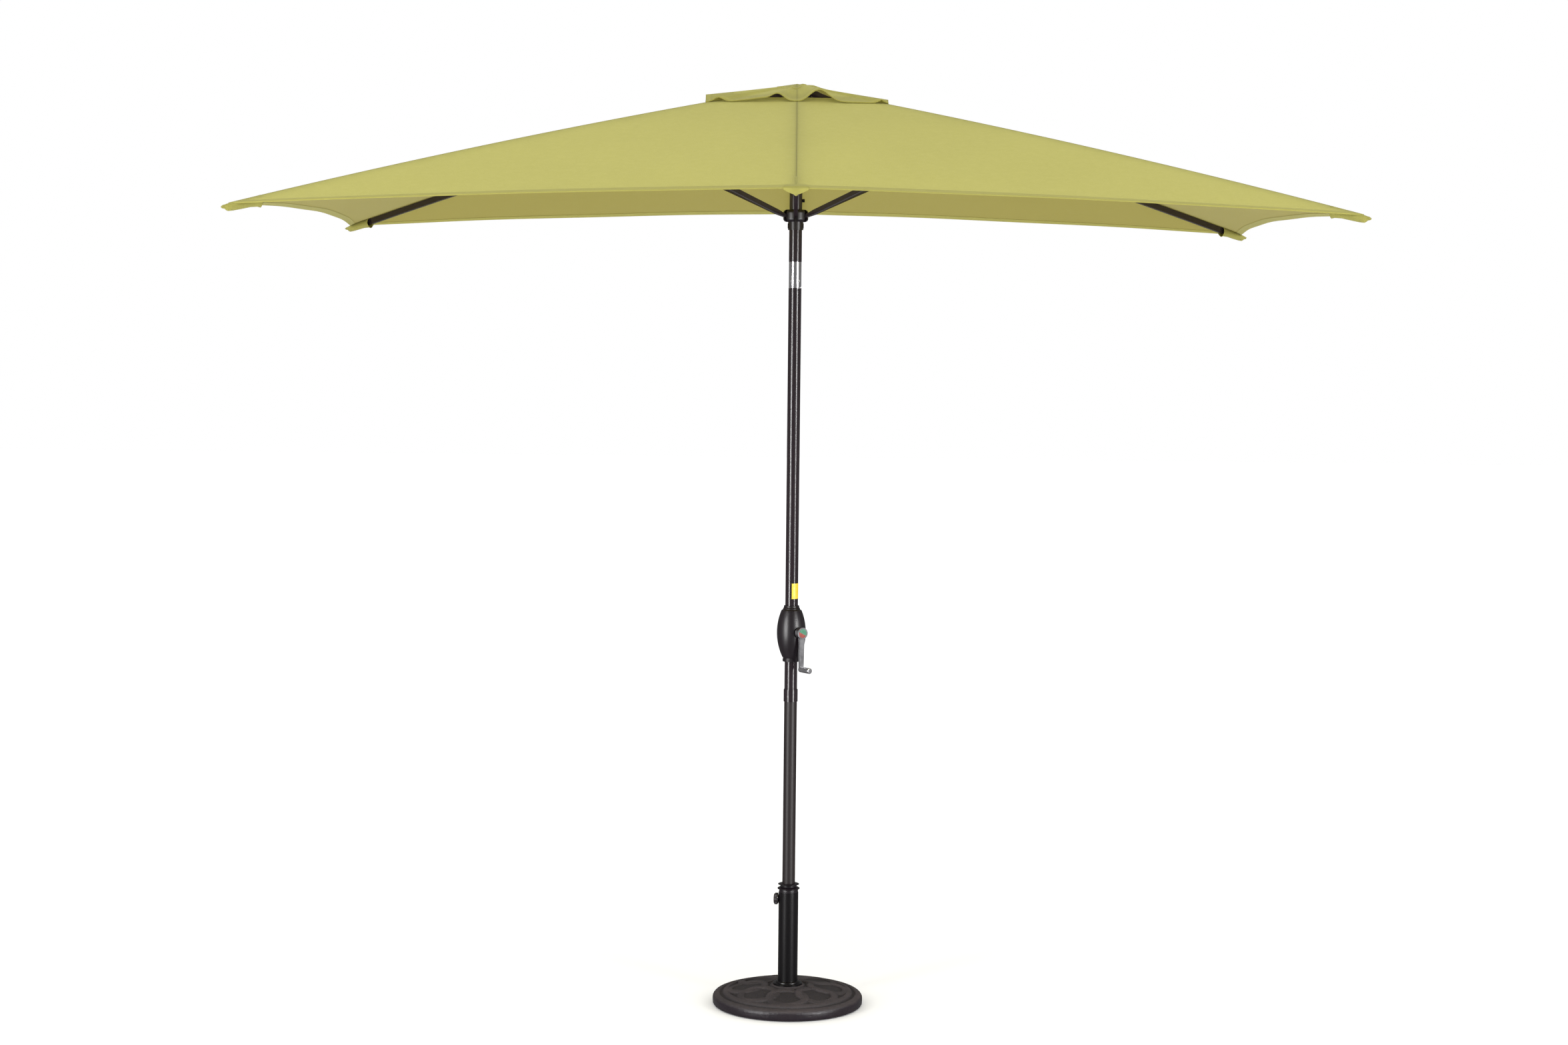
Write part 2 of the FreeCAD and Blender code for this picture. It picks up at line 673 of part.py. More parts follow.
def case_shell():
    """The barrel's wall with its stepped ends, screw posts, and the shaft's opening."""
    low, top = CASE_LOW_Z, CASE_TOP_Z
    bore = POLE_R + RUN
    barrel = case_barrel(0)
    top_end = revolved([
        (bore, top - 3), (28, top - 3), (CASE_TOP_R, top), (27.4, top + 1), (25.6, top + 3.6),
        (24.6, top + 6.5), (23.4, top + 8.2), (22.2, top + 8.8), (22.9, top + 9.4),
        (22.9, top + 13), (22.2, top + 14), (bore, top + 14),
    ])
    low_end = revolved([(bore, low - 13.5), (25, low - 13.5), (25.5, low - 8), (24, low - 3),
                        (CASE_LOW_R, low), (CASE_LOW_R, low + 3), (bore, low + 3)])
    solids = [barrel.cut(case_barrel(CASE_WALL)), top_end, low_end]
    half_groove = CASE_GROOVE_W / 2
    groove = block(0, 60, -half_groove, half_groove, low, top).cut(case_barrel(CASE_GROOVE_DEPTH))
    drilled = [rod_x(CASE_OPENING_R, CASE_TOP_R, 60, CRANK_Z), groove]
    for z in CASE_SCREW_Z:
        post = turned(rod_y(CASE_POST_R, 60, CASE_SCREW_X, z), CRANK_AZIMUTH)
        solids.append(post.common(barrel))
        sunk_from = V(CASE_SCREW_X, CASE_SCREW_Y, z)
        blind_end = V(CASE_SCREW_X, -CASE_SCREW_Y, z)
        drilled.append(Part.makeCylinder(CASE_SCREW_R + 0.1, 60, blind_end, Y_AXIS))
        drilled.append(Part.makeCylinder(CASE_SCREW_HEAD_R + 0.3, 60, sunk_from, Y_AXIS))
    case = joined(solids)
    for tool in drilled:
        case = case.cut(turned(tool, CRANK_AZIMUTH))
    return case


def housing_halves():
    """The crank case, split down the plane of the crank's axis."""
    case = case_shell()
    span = 80
    low, top = CASE_LOW_Z - span, CASE_TOP_Z + span
    left = turned(block(-span, span, -span, -CASE_SPLIT, low, top), CRANK_AZIMUTH)
    right = turned(block(-span, span, CASE_SPLIT, span, low, top), CRANK_AZIMUTH)
    return case.common(left), case.common(right)


def housing_screws():
    """Two screws that close the case from behind, one above and one below the crank."""
    screws = []
    for z in CASE_SCREW_Z:
        under_head = V(CASE_SCREW_X, CASE_SCREW_Y + 0.1, z)
        shank = rod_y(CASE_SCREW_R, 14, CASE_SCREW_X, z)
        head = Part.makeCylinder(CASE_SCREW_HEAD_R, CASE_SCREW_HEAD_T, under_head, Y_AXIS)
        neck = Part.makeCylinder(CASE_SCREW_R, 6, under_head + Y_AXIS, Y_AXIS * -1)
        screws.append(turned(joined([shank, neck, head]), CRANK_AZIMUTH))
    return screws


def pole_label():
    """Blank stick-on label, a quarter of the way round the pole."""
    inner = POLE_R + 0.03
    sleeve = tube(inner + LABEL_T, inner, LABEL_LOW_Z, LABEL_TOP_Z)
    return sleeve.common(block(0, 40, -40, 0, LABEL_LOW_Z - 1, LABEL_TOP_Z + 1))


def cord_hole(low, length):
    """Drilling for the lift cord, upright beside the tilt's knuckle."""
    return Part.makeCylinder(CORD_HOLE_R, length, cord_bend(low), Z_AXIS)


def tilt_knuckle():
    """Casting in the middle tube's top, with a round tongue that the head tilts on."""
    top = SLEEVE_LOW_Z - SIDE_PLAY
    plug = rod(POLE_BORE_R - RUN, KNUCKLE_LOW_Z, top)
    half = KNUCKLE_T / 2
    web = block(-KNUCKLE_R, KNUCKLE_R, -half, half, top - 2, TILT_Z)
    tongue = joined([web, rod_y(KNUCKLE_R, half, 0, TILT_Z)])
    tongue = tongue.cut(rod_y(TILT_PIN_R + RUN, 20, 0, TILT_Z))
    half_notch = NOTCH_W / 2
    for number in range(int(TILT_LIMIT / NOTCH_STEP) + 1):
        notch = block(-KNUCKLE_R - 1, -KNUCKLE_R + NOTCH_DEPTH, -8, 8,
                      TILT_Z - half_notch, TILT_Z + half_notch)
        notch.rotate(V(0, 0, TILT_Z), Y_AXIS, number * NOTCH_STEP)
        tongue = tongue.cut(notch)
    whole = joined([plug, turned(tongue, TILT_AZIMUTH)])
    return whole.cut(cord_hole(KNUCKLE_LOW_Z - 5, 60))


def save_mast():
    save("lower_pole", lower_pole())
    save("pole_foot_plug", pole_foot_plug())
    save("middle_pole", middle_pole())
    save("joint_collar", joint_collar())
    left, right = housing_halves()
    save("crank_case_left", left)
    save("crank_case_right", right)
    save("crank_case_screws", *housing_screws())
    save("pole_label", pole_label())
    save("tilt_knuckle", tilt_knuckle())


# ---- crank --------------------------------------------------------------------------------
def crank_shaft():
    return turned(rod_x(SHAFT_R, SHAFT_START_R, SHAFT_END_R, CRANK_Z), CRANK_AZIMUTH)


def cord_spool():
    """Drum on the shaft, inside the pole, with the wound turns of cord between its flanges."""
    inner = SPOOL_HALF - SPOOL_FLANGE_T
    drum = joined([
        rod_x(SPOOL_CORE_R, -SPOOL_HALF + LAP, SPOOL_HALF - LAP, CRANK_Z),
        rod_x(SPOOL_FLANGE_R, -SPOOL_HALF, -inner, CRANK_Z),
        rod_x(SPOOL_FLANGE_R, inner, SPOOL_HALF, CRANK_Z),
    ])
    bore = rod_x(SHAFT_R + PRESS, -SPOOL_HALF - 1, SPOOL_HALF + 1, CRANK_Z)
    return turned(drum.cut(bore), CRANK_AZIMUTH)


def crank_arm():
    """Plated hub and tapered arm, with a round end that carries the grip."""
    end_z = CRANK_Z - CRANK_LENGTH
    arm = block(ARM_START_R, ARM_END_R, -ARM_HALF_W, ARM_HALF_W, end_z, CRANK_Z - 10)
    shoulder_z = CRANK_Z - ARM_SHOULDER
    outside = ARM_HALF_W + 3
    for side in (-1, 1):
        corners = [V(40, side * ARM_LOW_HALF_W, end_z - 1), V(40, side * outside, end_z - 1),
                   V(40, side * outside, shoulder_z), V(40, side * ARM_HALF_W, shoulder_z)]
        face = Part.Face(Part.makePolygon(corners + corners[:1]))
        arm = arm.cut(face.extrude(X_AXIS * 30))
    whole = joined([
        rod_x(CRANK_HUB_R, CRANK_HUB_START_R, CRANK_HUB_END_R, CRANK_Z),
        rod_x(CRANK_BOSS_R, CRANK_BOSS_START_R, CRANK_HUB_START_R + 1, CRANK_Z),
        arm,
        rod_x(GRIP_R - 0.2, ARM_START_R, ARM_END_R, end_z),
    ])
    whole = whole.cut(rod_x(SHAFT_R + PRESS, 30, SHAFT_END_R + 0.1, CRANK_Z))
    pin = rod_x(GRIP_PIN_R, ARM_END_R - 1, ARM_END_R + GRIP_LENGTH - GRIP_PIN_SHORT, end_z)
    return turned(joined([whole, pin]), CRANK_AZIMUTH)


def crank_badge():
    """Thin round disc on the hub's face, in two half rounds."""
    face = CRANK_HUB_END_R + RUN
    disc = rod_x(BADGE_R, face, face + BADGE_T, CRANK_Z)
    gap, span = 0.05, BADGE_R + 5
    upper = disc.common(block(60, 63, -span, span, CRANK_Z + gap, CRANK_Z + span))
    lower = disc.common(block(60, 63, -span, span, CRANK_Z - span, CRANK_Z - gap))
    return turned(upper, CRANK_AZIMUTH), turned(lower, CRANK_AZIMUTH)


def crank_grip():
    """Free-turning grip that stands out from the arm's end."""
    z = CRANK_Z - CRANK_LENGTH
    start = ARM_END_R + SIDE_PLAY
    end = start + GRIP_LENGTH
    body = rod_x(GRIP_R, start, end, z)
    body = body.makeFillet(GRIP_ROUND, [e for e in body.Edges if e.BoundBox.XMin > end - 1])
    bore_end = end - GRIP_PIN_SHORT + LAP
    return turned(body.cut(rod_x(GRIP_PIN_R + RUN, start - 1, bore_end, z)), CRANK_AZIMUTH)


def save_crank():
    save("crank_shaft", crank_shaft())
    save("cord_spool", cord_spool())
    save("crank_arm", crank_arm())
    save("crank_badge", *crank_badge())
    save("crank_grip", crank_grip())


# ---- tilt head ----------------------------------------------------------------------------
def tilt_sleeve():
    """Polished casting on the upper tube: it forks round the knuckle and tips back on it."""
    spigot_top = SLEEVE_TOP_Z + SLEEVE_SPIGOT
    body = joined([rod(SLEEVE_R, SLEEVE_LOW_Z, SLEEVE_TOP_Z),
                   rod(POLE_BORE_R - RUN, SLEEVE_TOP_Z - 1, spigot_top)])
    slot = KNUCKLE_T / 2 + SIDE_PLAY
    low, top = SLEEVE_LOW_Z - 1, TILT_Z + KNUCKLE_R + 0.7
    space = rod(SLEEVE_R - SLEEVE_WALL, low, top).common(block(-30, 30, -slot, slot, low, top))
    back_slot = block(0, 30, -slot, slot, low, TILT_Z - 4)
    # the lower edge is round about the pin, then slopes to the tilt's limit
    depth = TILT_Z - SLEEVE_LOW_Z - SIDE_PLAY
    edge = block(0, 30, -30, 30, low, TILT_Z).cut(rod_y(depth, 40, 0, TILT_Z))
    limit = math.radians(TILT_LIMIT)
    ramp_low = TILT_Z - depth / math.cos(limit)
    ramp = plate([(0, ramp_low), (30, ramp_low + 30 * math.tan(limit)), (30, low - 20),
                  (0, low - 20)], 30)
    button_hole = rod_x(BUTTON_R + 0.15, -30, -SLEEVE_R + 4, TILT_Z)
    pin_hole = rod_y(TILT_PIN_R + PRESS, 30, 0, TILT_Z)
    body = body.cut(turned(joined([space, back_slot, button_hole, pin_hole]), TILT_AZIMUTH))
    body = body.cut(turned(edge, TILT_AZIMUTH)).cut(turned(ramp, TILT_AZIMUTH))
    return body.cut(cord_hole(KNUCKLE_LOW_Z - 5, 200))


def tilt_pin():
    return turned(rod_y(TILT_PIN_R, SLEEVE_R - 0.6, 0, TILT_Z), TILT_AZIMUTH)


def tilt_button():
    """Sprung button on the side away from the tilt, with the bolt that locks the notches."""
    head = rod_x(BUTTON_R, -SLEEVE_R - 2, -SLEEVE_R + SLEEVE_WALL, TILT_Z)
    head = head.common(rod(SLEEVE_R + 0.7, TILT_Z - 9, TILT_Z + 9))
    stem = rod_x(BUTTON_STEM_R, -SLEEVE_R + SLEEVE_WALL - 0.1, -KNUCKLE_R - 3.6, TILT_Z)
    return turned(joined([head, stem]), TILT_AZIMUTH)


def button_spring():
    """Coil spring round the button's stem, drawn as its coils' sleeve."""
    coil = rod_x(SPRING_R, -SLEEVE_R + 4.8, -KNUCKLE_R - 0.4, TILT_Z)
    coil = coil.cut(rod_x(SPRING_BORE_R, -SLEEVE_R, 0, TILT_Z))
    return turned(coil, TILT_AZIMUTH)


def upper_pole():
    wall = tube(POLE_R, POLE_BORE_R, SLEEVE_TOP_Z + 0.1, POLE_TOP_Z)
    for azimuth, z in ((90, STOP_Z), (-90, CORD_LOCK_Z)):
        wall = wall.cut(turned(rod_x(STOP_SCREW_R + RUN, 10, 30, z), azimuth))
    return wall


def stop_bolts():
    """Runner stop on the right, and a smaller screw on the left."""
    bolts = []
    for azimuth, z, head_r, head_t in ((90, STOP_Z, 5.0, 7.0), (-90, CORD_LOCK_Z, 4.5, 4.0)):
        shank = rod_x(STOP_SCREW_R, 14, POLE_R + 1, z)
        head = rod_x(head_r, POLE_R + 0.1, POLE_R + head_t, z)
        bolts.append(turned(joined([shank, head]), azimuth))
    return bolts


def top_hub():
    """Slotted hub on the pole's top: six slots for the ribs and one for the cord's sheave."""
    disc = rod(HUB_R, HUB_LOW_Z, HUB_TOP_Z)
    top_edges = [e for e in disc.Edges if e.BoundBox.ZMin > HUB_TOP_Z - 1]
    disc = disc.makeFillet(HUB_ROUND, top_edges)
    neck = rod(HUB_NECK_R, POLE_TOP_Z - HUB_NECK, HUB_LOW_Z + 1)
    body = joined([disc, neck]).cut(rod(POLE_R + RUN, POLE_TOP_Z - HUB_NECK - 2, POLE_TOP_Z + 0.1))
    half = TONGUE_T / 2 + SIDE_PLAY
    low, top = HUB_LOW_Z - 1, HUB_TOP_Z + 1
    for rib in RIBS:
        slot = block(HUB_HINGE_R - 8, HUB_R + 14, -half, half, low, top)
        pin_hole = rod_y(HINGE_PIN_R + PRESS, HINGE_PIN_HALF + 0.1, HUB_HINGE_R, HUB_HINGE_Z)
        body = body.cut(turned(joined([slot, pin_hole]), rib[1]))
    half_groove = SHEAVE_T / 2 + 0.4
    groove = block(0.3, 27, -half_groove, half_groove, SHEAVE_Z - 13.5, top)
    inlet = Part.makeCylinder(3.0, 20, V(SHEAVE_AT_R - SHEAVE_R, 0, POLE_TOP_Z - 10), Z_AXIS)
    axle_hole = rod_y(HINGE_PIN_R + PRESS, AXLE_HALF + 0.1, SHEAVE_AT_R, SHEAVE_Z)
    return body.cut(turned(joined([groove, inlet, axle_hole]), SHEAVE_AZIMUTH))


def hub_pins():
    """The ribs' six hinge pins and the sheave's axle."""
    pin = rod_y(HINGE_PIN_R, HINGE_PIN_HALF, HUB_HINGE_R, HUB_HINGE_Z)
    axle = rod_y(HINGE_PIN_R, AXLE_HALF, SHEAVE_AT_R, SHEAVE_Z)
    return [turned(pin, rib[1]) for rib in RIBS] + [turned(axle, SHEAVE_AZIMUTH)]


def lift_sheave():
    """Grooved wheel that turns the cord down to the runner."""
    wheel = rod_y(SHEAVE_R + 1.6, SHEAVE_T / 2, SHEAVE_AT_R, SHEAVE_Z)
    cord_room = CORD_R + RUN
    ring = Part.makeTorus(SHEAVE_R, cord_room, V(SHEAVE_AT_R, 0, SHEAVE_Z), Y_AXIS)
    mouth = rod_y(SHEAVE_R + 3, cord_room, SHEAVE_AT_R, SHEAVE_Z)
    mouth = mouth.cut(rod_y(SHEAVE_R, 3, SHEAVE_AT_R, SHEAVE_Z))
    bore = rod_y(HINGE_PIN_R + RUN, 5, SHEAVE_AT_R, SHEAVE_Z)
    return turned(wheel.cut(ring).cut(mouth).cut(bore), SHEAVE_AZIMUTH)


def hub_nut():
    """Low round nut on the hub, under the vent cap's eyelet."""
    washer = rod(NUT_WASHER_R, HUB_TOP_Z + 0.1, HUB_TOP_Z + 2)
    return joined([washer, rod(NUT_R, HUB_TOP_Z + 1, CAP_APEX_Z - 5)])


def runner():
    """Sliding collar with six slots for the struts, and a narrow neck below."""
    body = rod(RUNNER_R, RUNNER_LOW_Z, RUNNER_TOP_Z)
    body = body.makeFillet(RUNNER_ROUND, [e for e in body.Edges if e.BoundBox.ZLength < 1])
    neck = rod(RUNNER_NECK_R, RUNNER_NECK_Z, RUNNER_LOW_Z + 1)
    ears = rod_x(EAR_R, -EAR_END_R, EAR_END_R, RUNNER_NECK_Z + 12)
    body = joined([body, neck, ears])
    body = body.cut(rod(RUNNER_BORE_R, RUNNER_NECK_Z - 5, RUNNER_TOP_Z + 5))
    half = STRUT_W / 2 + SIDE_PLAY
    slot = block(RUNNER_SLOT_R, 60, -half, half, RUNNER_LOW_Z - 1, RUNNER_TOP_Z + 1)
    for rib in RIBS:
        body = body.cut(turned(slot, rib[1]))
    eye = Part.makeCylinder(CORD_R + 0.3, 60, V(CORD_DOWN_R, 0, RUNNER_LOW_Z - 10), Z_AXIS)
    return body.cut(turned(eye, SHEAVE_AZIMUTH))


# ---- lift cord ----------------------------------------------------------------------------
def cord_bend(z):
    """Where the cord runs beside the knuckle, clear of the tongue and of the pin."""
    across = direction(TILT_AZIMUTH - 90)
    return direction(TILT_AZIMUTH) * CORD_ALONG_TILT + across * CORD_ASIDE + Z_AXIS * z


def lower_cord():
    """From the side of the spool up inside the middle tube, to just below the tilt."""
    spool_side = direction(CRANK_AZIMUTH + 90) * (SPOOL_CORE_R + CORD_R + RUN)
    bend_z = KNUCKLE_LOW_Z - 10
    end_z = SLEEVE_LOW_Z - 0.5
    return cord_solid([spool_side + Z_AXIS * CRANK_Z, cord_bend(bend_z), cord_bend(end_z)])


def upper_cord():
    """Up inside the upper tube, then half a turn round the sheave."""
    inner_r = SHEAVE_AT_R - SHEAVE_R
    inner = place(SHEAVE_AZIMUTH, inner_r, 0)
    below = inner + Z_AXIS * (SHEAVE_Z - SHEAVE_R - 5)
    top = inner + Z_AXIS * (SHEAVE_Z - RUN)
    spigot_top = SLEEVE_TOP_Z + SLEEVE_SPIGOT
    rise = cord_solid([cord_bend(TILT_Z - 14), cord_bend(spigot_top + 6), below, top])
    section = Part.Circle(V(inner_r, 0, SHEAVE_Z), Z_AXIS, CORD_R).toShape()
    disc = Part.Face(Part.Wire([section]))
    loop = disc.revolve(V(SHEAVE_AT_R, 0, SHEAVE_Z), Y_AXIS, 180)
    return rise, turned(loop, SHEAVE_AZIMUTH)


def outer_cord():
    """The free run down beside the pole to the runner, which gets longer as it closes."""
    low, top = RUNNER_LOW_Z + CORD_END_ABOVE_RUNNER, SHEAVE_Z - 0.2
    run = Part.makeCylinder(CORD_R, top - low, V(CORD_DOWN_R, 0, low), Z_AXIS)
    return turned(run, SHEAVE_AZIMUTH)


def save_head():
    save("tilt_sleeve", tilt_sleeve())
    save("tilt_pin", tilt_pin())
    save("tilt_button", tilt_button())
    save("button_spring", button_spring())
    save("upper_pole", upper_pole())
    save("stop_bolts", *stop_bolts())
    save("top_hub", top_hub())
    save("hub_pins", *hub_pins())
    save("lift_sheave", lift_sheave())
    save("hub_nut", hub_nut())
    save("runner", runner())
    save("lift_cord_lower", lower_cord())
    save("lift_cord_upper", *upper_cord())
    save("lift_cord_outer", outer_cord())
    save("vent_cap", vent_cap())


os.makedirs("parts", exist_ok=True)
save_base()
save_mast()
save_crank()
save_head()
save_ribs()
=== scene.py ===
"""Looks of the patio umbrella: cloth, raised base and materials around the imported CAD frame.

Metres, +Z up, the pole's axis at the origin. An azimuth is measured from the front (-Y)
towards the right (+X), as in the CAD part.
"""

import json
import math

import bmesh
import bpy
from mathutils import Matrix, Vector


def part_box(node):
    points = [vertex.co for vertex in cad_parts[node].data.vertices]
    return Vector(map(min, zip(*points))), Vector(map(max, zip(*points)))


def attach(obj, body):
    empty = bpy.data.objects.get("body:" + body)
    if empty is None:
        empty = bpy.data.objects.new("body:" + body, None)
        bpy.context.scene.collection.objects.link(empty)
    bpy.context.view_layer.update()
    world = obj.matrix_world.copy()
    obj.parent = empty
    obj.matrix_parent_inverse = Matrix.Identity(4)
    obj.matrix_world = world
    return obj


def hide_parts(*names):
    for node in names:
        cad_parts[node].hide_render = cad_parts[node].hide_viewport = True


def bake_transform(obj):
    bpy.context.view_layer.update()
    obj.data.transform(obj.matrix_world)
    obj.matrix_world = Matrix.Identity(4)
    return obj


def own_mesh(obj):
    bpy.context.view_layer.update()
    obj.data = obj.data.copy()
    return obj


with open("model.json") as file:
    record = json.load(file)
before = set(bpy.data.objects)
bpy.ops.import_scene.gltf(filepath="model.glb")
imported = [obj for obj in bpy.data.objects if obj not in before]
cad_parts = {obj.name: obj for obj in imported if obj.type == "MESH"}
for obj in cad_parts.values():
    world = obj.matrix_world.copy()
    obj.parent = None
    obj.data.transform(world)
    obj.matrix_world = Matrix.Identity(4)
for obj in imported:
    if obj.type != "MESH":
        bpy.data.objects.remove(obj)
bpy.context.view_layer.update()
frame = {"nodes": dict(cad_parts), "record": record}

# ---- canopy, as in the CAD part, in metres -------------------------------------------------
HALF_LENGTH = 1.470
HALF_DEPTH = 0.980
APEX_Z = 2.736
CORNER_FALL, CORNER_BOW = 0.330, 0.060
MIDDLE_FALL, MIDDLE_BOW = 0.311, 0.025
VENT_HOLE = 0.125
VENT_CAP = 0.179
CAP_APEX_Z = 2.743
CAP_LIFT = 0.004
END_SCALLOP = 0.0374
SIDE_SCALLOP = 0.024
REACH = math.hypot(HALF_LENGTH, HALF_DEPTH)
CORNER_AZIMUTH = math.degrees(math.atan2(HALF_LENGTH, HALF_DEPTH))

# name, azimuth, horizontal reach, fall and bow of the fabric line
RIBS = [
    ("front_middle", 0.0, HALF_DEPTH, MIDDLE_FALL, MIDDLE_BOW),
    ("front_right", CORNER_AZIMUTH, REACH, CORNER_FALL, CORNER_BOW),
    ("back_right", 180 - CORNER_AZIMUTH, REACH, CORNER_FALL, CORNER_BOW),
    ("back_middle", 180.0, HALF_DEPTH, MIDDLE_FALL, MIDDLE_BOW),
    ("back_left", 180 + CORNER_AZIMUTH, REACH, CORNER_FALL, CORNER_BOW),
    ("front_left", -CORNER_AZIMUTH, REACH, CORNER_FALL, CORNER_BOW),
]

PANEL_SAG = 0.002
HEM_WIDTH = 0.022
CROWN_R = 0.062

# Sewing: distances of the stitch rows from the seam and from the hem's edge.
SEAM_STITCH_AT = 0.003
HEM_STITCH_AT = 0.018
STITCH_PITCH = 0.0035
THREAD_PITCH = 0.0016


# ---- small helpers -------------------------------------------------------------------------
def direction(azimuth):
    angle = math.radians(azimuth)
    return Vector((math.sin(angle), -math.cos(angle), 0))


def sideways(azimuth):
    angle = math.radians(azimuth)
    return Vector((math.cos(angle), math.sin(angle), 0))


def smooth(value):
    value = min(max(value, 0.0), 1.0)
    return value * value * (3 - 2 * value)


def bump(value, centre, width):
    return math.exp(-(((value - centre) / width) ** 2))


def mesh_piece(name, vertices, faces, look, body, shade_smooth=True, uvs=None, closed=False):
    """A new mesh piece in the row frame, riding on a CAD body."""
    mesh = bpy.data.meshes.new(name)
    mesh.from_pydata([tuple(v) for v in vertices], [], faces)
    if closed:
        shell = bmesh.new()
        shell.from_mesh(mesh)
        bmesh.ops.recalc_face_normals(shell, faces=shell.faces)
        shell.to_mesh(mesh)
        shell.free()
    mesh.polygons.foreach_set("use_smooth", [shade_smooth] * len(mesh.polygons))
    for uv_name, values in (uvs or {}).items():
        layer = mesh.uv_layers.new(name=uv_name)
        for loop in mesh.loops:
            layer.data[loop.index].uv = values[loop.vertex_index]
    mesh.materials.append(look)
    mesh.update()
    piece = bpy.data.objects.new(name, mesh)
    bpy.context.scene.collection.objects.link(piece)
    if body:
        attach(piece, body)
    return piece


def grid_faces(rows, columns, closed=False, flip=False):
    faces = []
    for row in range(rows - 1):
        for column in range(columns if closed else columns - 1):
            after = (column + 1) % columns
            a, b = row * columns + column, row * columns + after
            c, d = (row + 1) * columns + after, (row + 1) * columns + column
            faces.append((d, c, b, a) if flip else (a, b, c, d))
    return faces


def ring_point(radius, step, segments):
    """Offsets of one point of a circle cut into equal steps."""
    angle = 2 * math.pi * step / segments
    return radius * math.cos(angle), radius * math.sin(angle)


def turned_faces(rows, segments):
    """Faces of a turned shape whose profile returns to its start."""
    faces = grid_faces(rows, segments, closed=True)
    last = (rows - 1) * segments
    for step in range(segments):
        after = (step + 1) % segments
        faces.append((last + step, last + after, after, step))
    return faces


# ---- materials -----------------------------------------------------------------------------
def linear(red, green, blue):
    """A colour given as 0 to 255 in sRGB, as the shader's linear values."""
    out = []
    for part in (red, green, blue):
        part /= 255
        out.append(part / 12.92 if part <= 0.04045 else ((part + 0.055) / 1.055) ** 2.4)
    return (*out, 1.0)


class Look:
    """A material under construction: its shader, and short ways to add nodes to it."""

    def __init__(self, name, **sockets):
        self.material = bpy.data.materials.new(name)
        self.material.use_nodes = True
        self.tree = self.material.node_tree
        self.shader = self.tree.nodes["Principled BSDF"]
        self.output = self.tree.nodes["Material Output"]
        for socket, value in sockets.items():
            self.shader.inputs[socket.replace("_", " ").title()].default_value = value
        self.object_space = self.add("ShaderNodeTexCoord").outputs["Object"]

    def add(self, kind, inputs=None, **settings):
        node = self.tree.nodes.new(kind)
        for key, value in settings.items():
            setattr(node, key, value)
        for key, value in (inputs or {}).items():
            self.feed(node.inputs[key], value)
        return node

    def feed(self, socket, value):
        if isinstance(value, bpy.types.NodeSocket):
            self.tree.links.new(value, socket)
        else:
            socket.default_value = value

    def stretched(self, vector, scale):
        node = self.add("ShaderNodeMapping", {"Vector": vector})
        node.inputs["Scale"].default_value = scale
        return node.outputs["Vector"]

    def uv(self, name):
        return self.add("ShaderNodeUVMap", uv_map=name).outputs["UV"]

    def split(self, vector):
        node = self.add("ShaderNodeSeparateXYZ", {"Vector": vector})
        return node.outputs["X"], node.outputs["Y"], node.outputs["Z"]

    def noise(self, scale, detail=2.0, vector=None, roughness=0.5):
        inputs = {"Vector": vector or self.object_space, "Scale": scale, "Detail": detail,
                  "Roughness": roughness}
        return self.add("ShaderNodeTexNoise", inputs).outputs["Fac"]

    def cells(self, scale, vector=None):
        inputs = {"Vector": vector or self.object_space, "Scale": scale}
        return self.add("ShaderNodeTexVoronoi", inputs).outputs["Distance"]

    def math(self, operation, first, second=0.0):
        node = self.add("ShaderNodeMath", {0: first, 1: second}, operation=operation)
        return node.outputs["Value"]

    def spread(self, value, low, high, to_low=0.0, to_high=1.0):
        inputs = {"Value": value, "From Min": low, "From Max": high,
                  "To Min": to_low, "To Max": to_high}
        node = self.add("ShaderNodeMapRange", inputs)
        return node.outputs["Result"]

    def mixed(self, share, first, second):
        node = self.add("ShaderNodeMix", data_type="RGBA")
        for index, value in ((0, share), (6, first), (7, second)):
            self.feed(node.inputs[index], value)
        return node.outputs[2]

    def band(self, value, centre, half_width):
        """1 on a line at centre, falling to 0 at half_width from it."""
        off = self.math("ABSOLUTE", self.math("SUBTRACT", value, centre))
        return self.spread(off, 0.0, half_width, 1.0, 0.0)

    def colour(self, value):
        self.feed(self.shader.inputs["Base Color"], value)

    def rough(self, value):
        self.feed(self.shader.inputs["Roughness"], value)

    def raised(self, *layers):
        """Bump from (height, distance in metres) layers, each on top of the last."""
        normal = None
        for height, distance in layers:
            inputs = {"Height": height, "Distance": distance, "Strength": 1.0}
            node = self.add("ShaderNodeBump", inputs)
            if normal:
                self.feed(node.inputs["Normal"], normal)
            normal = node.outputs["Normal"]
        self.feed(self.shader.inputs["Normal"], normal)
        return normal


CLOTH_LIGHT = (0.420, 0.393, 0.088, 1)
CLOTH_SHADE = (0.395, 0.368, 0.080, 1)
THREAD_TINT = (0.475, 0.450, 0.118, 1)
SHADOW_TINT = (0.310, 0.285, 0.055, 1)
STITCH_TINT = (0.240, 0.220, 0.050, 1)
# Painted shade: the near-black colour of the line along each seam's crease.
SEAM_SHADE_TINT = (0.070, 0.060, 0.022, 1)
HEM_TINT = (0.500, 0.465, 0.110, 1)
# Painted shade: the darker tint given to the cloth's underside.
PAINTED_UNDERSIDE_SHADE = (0.260, 0.215, 0.032, 1)


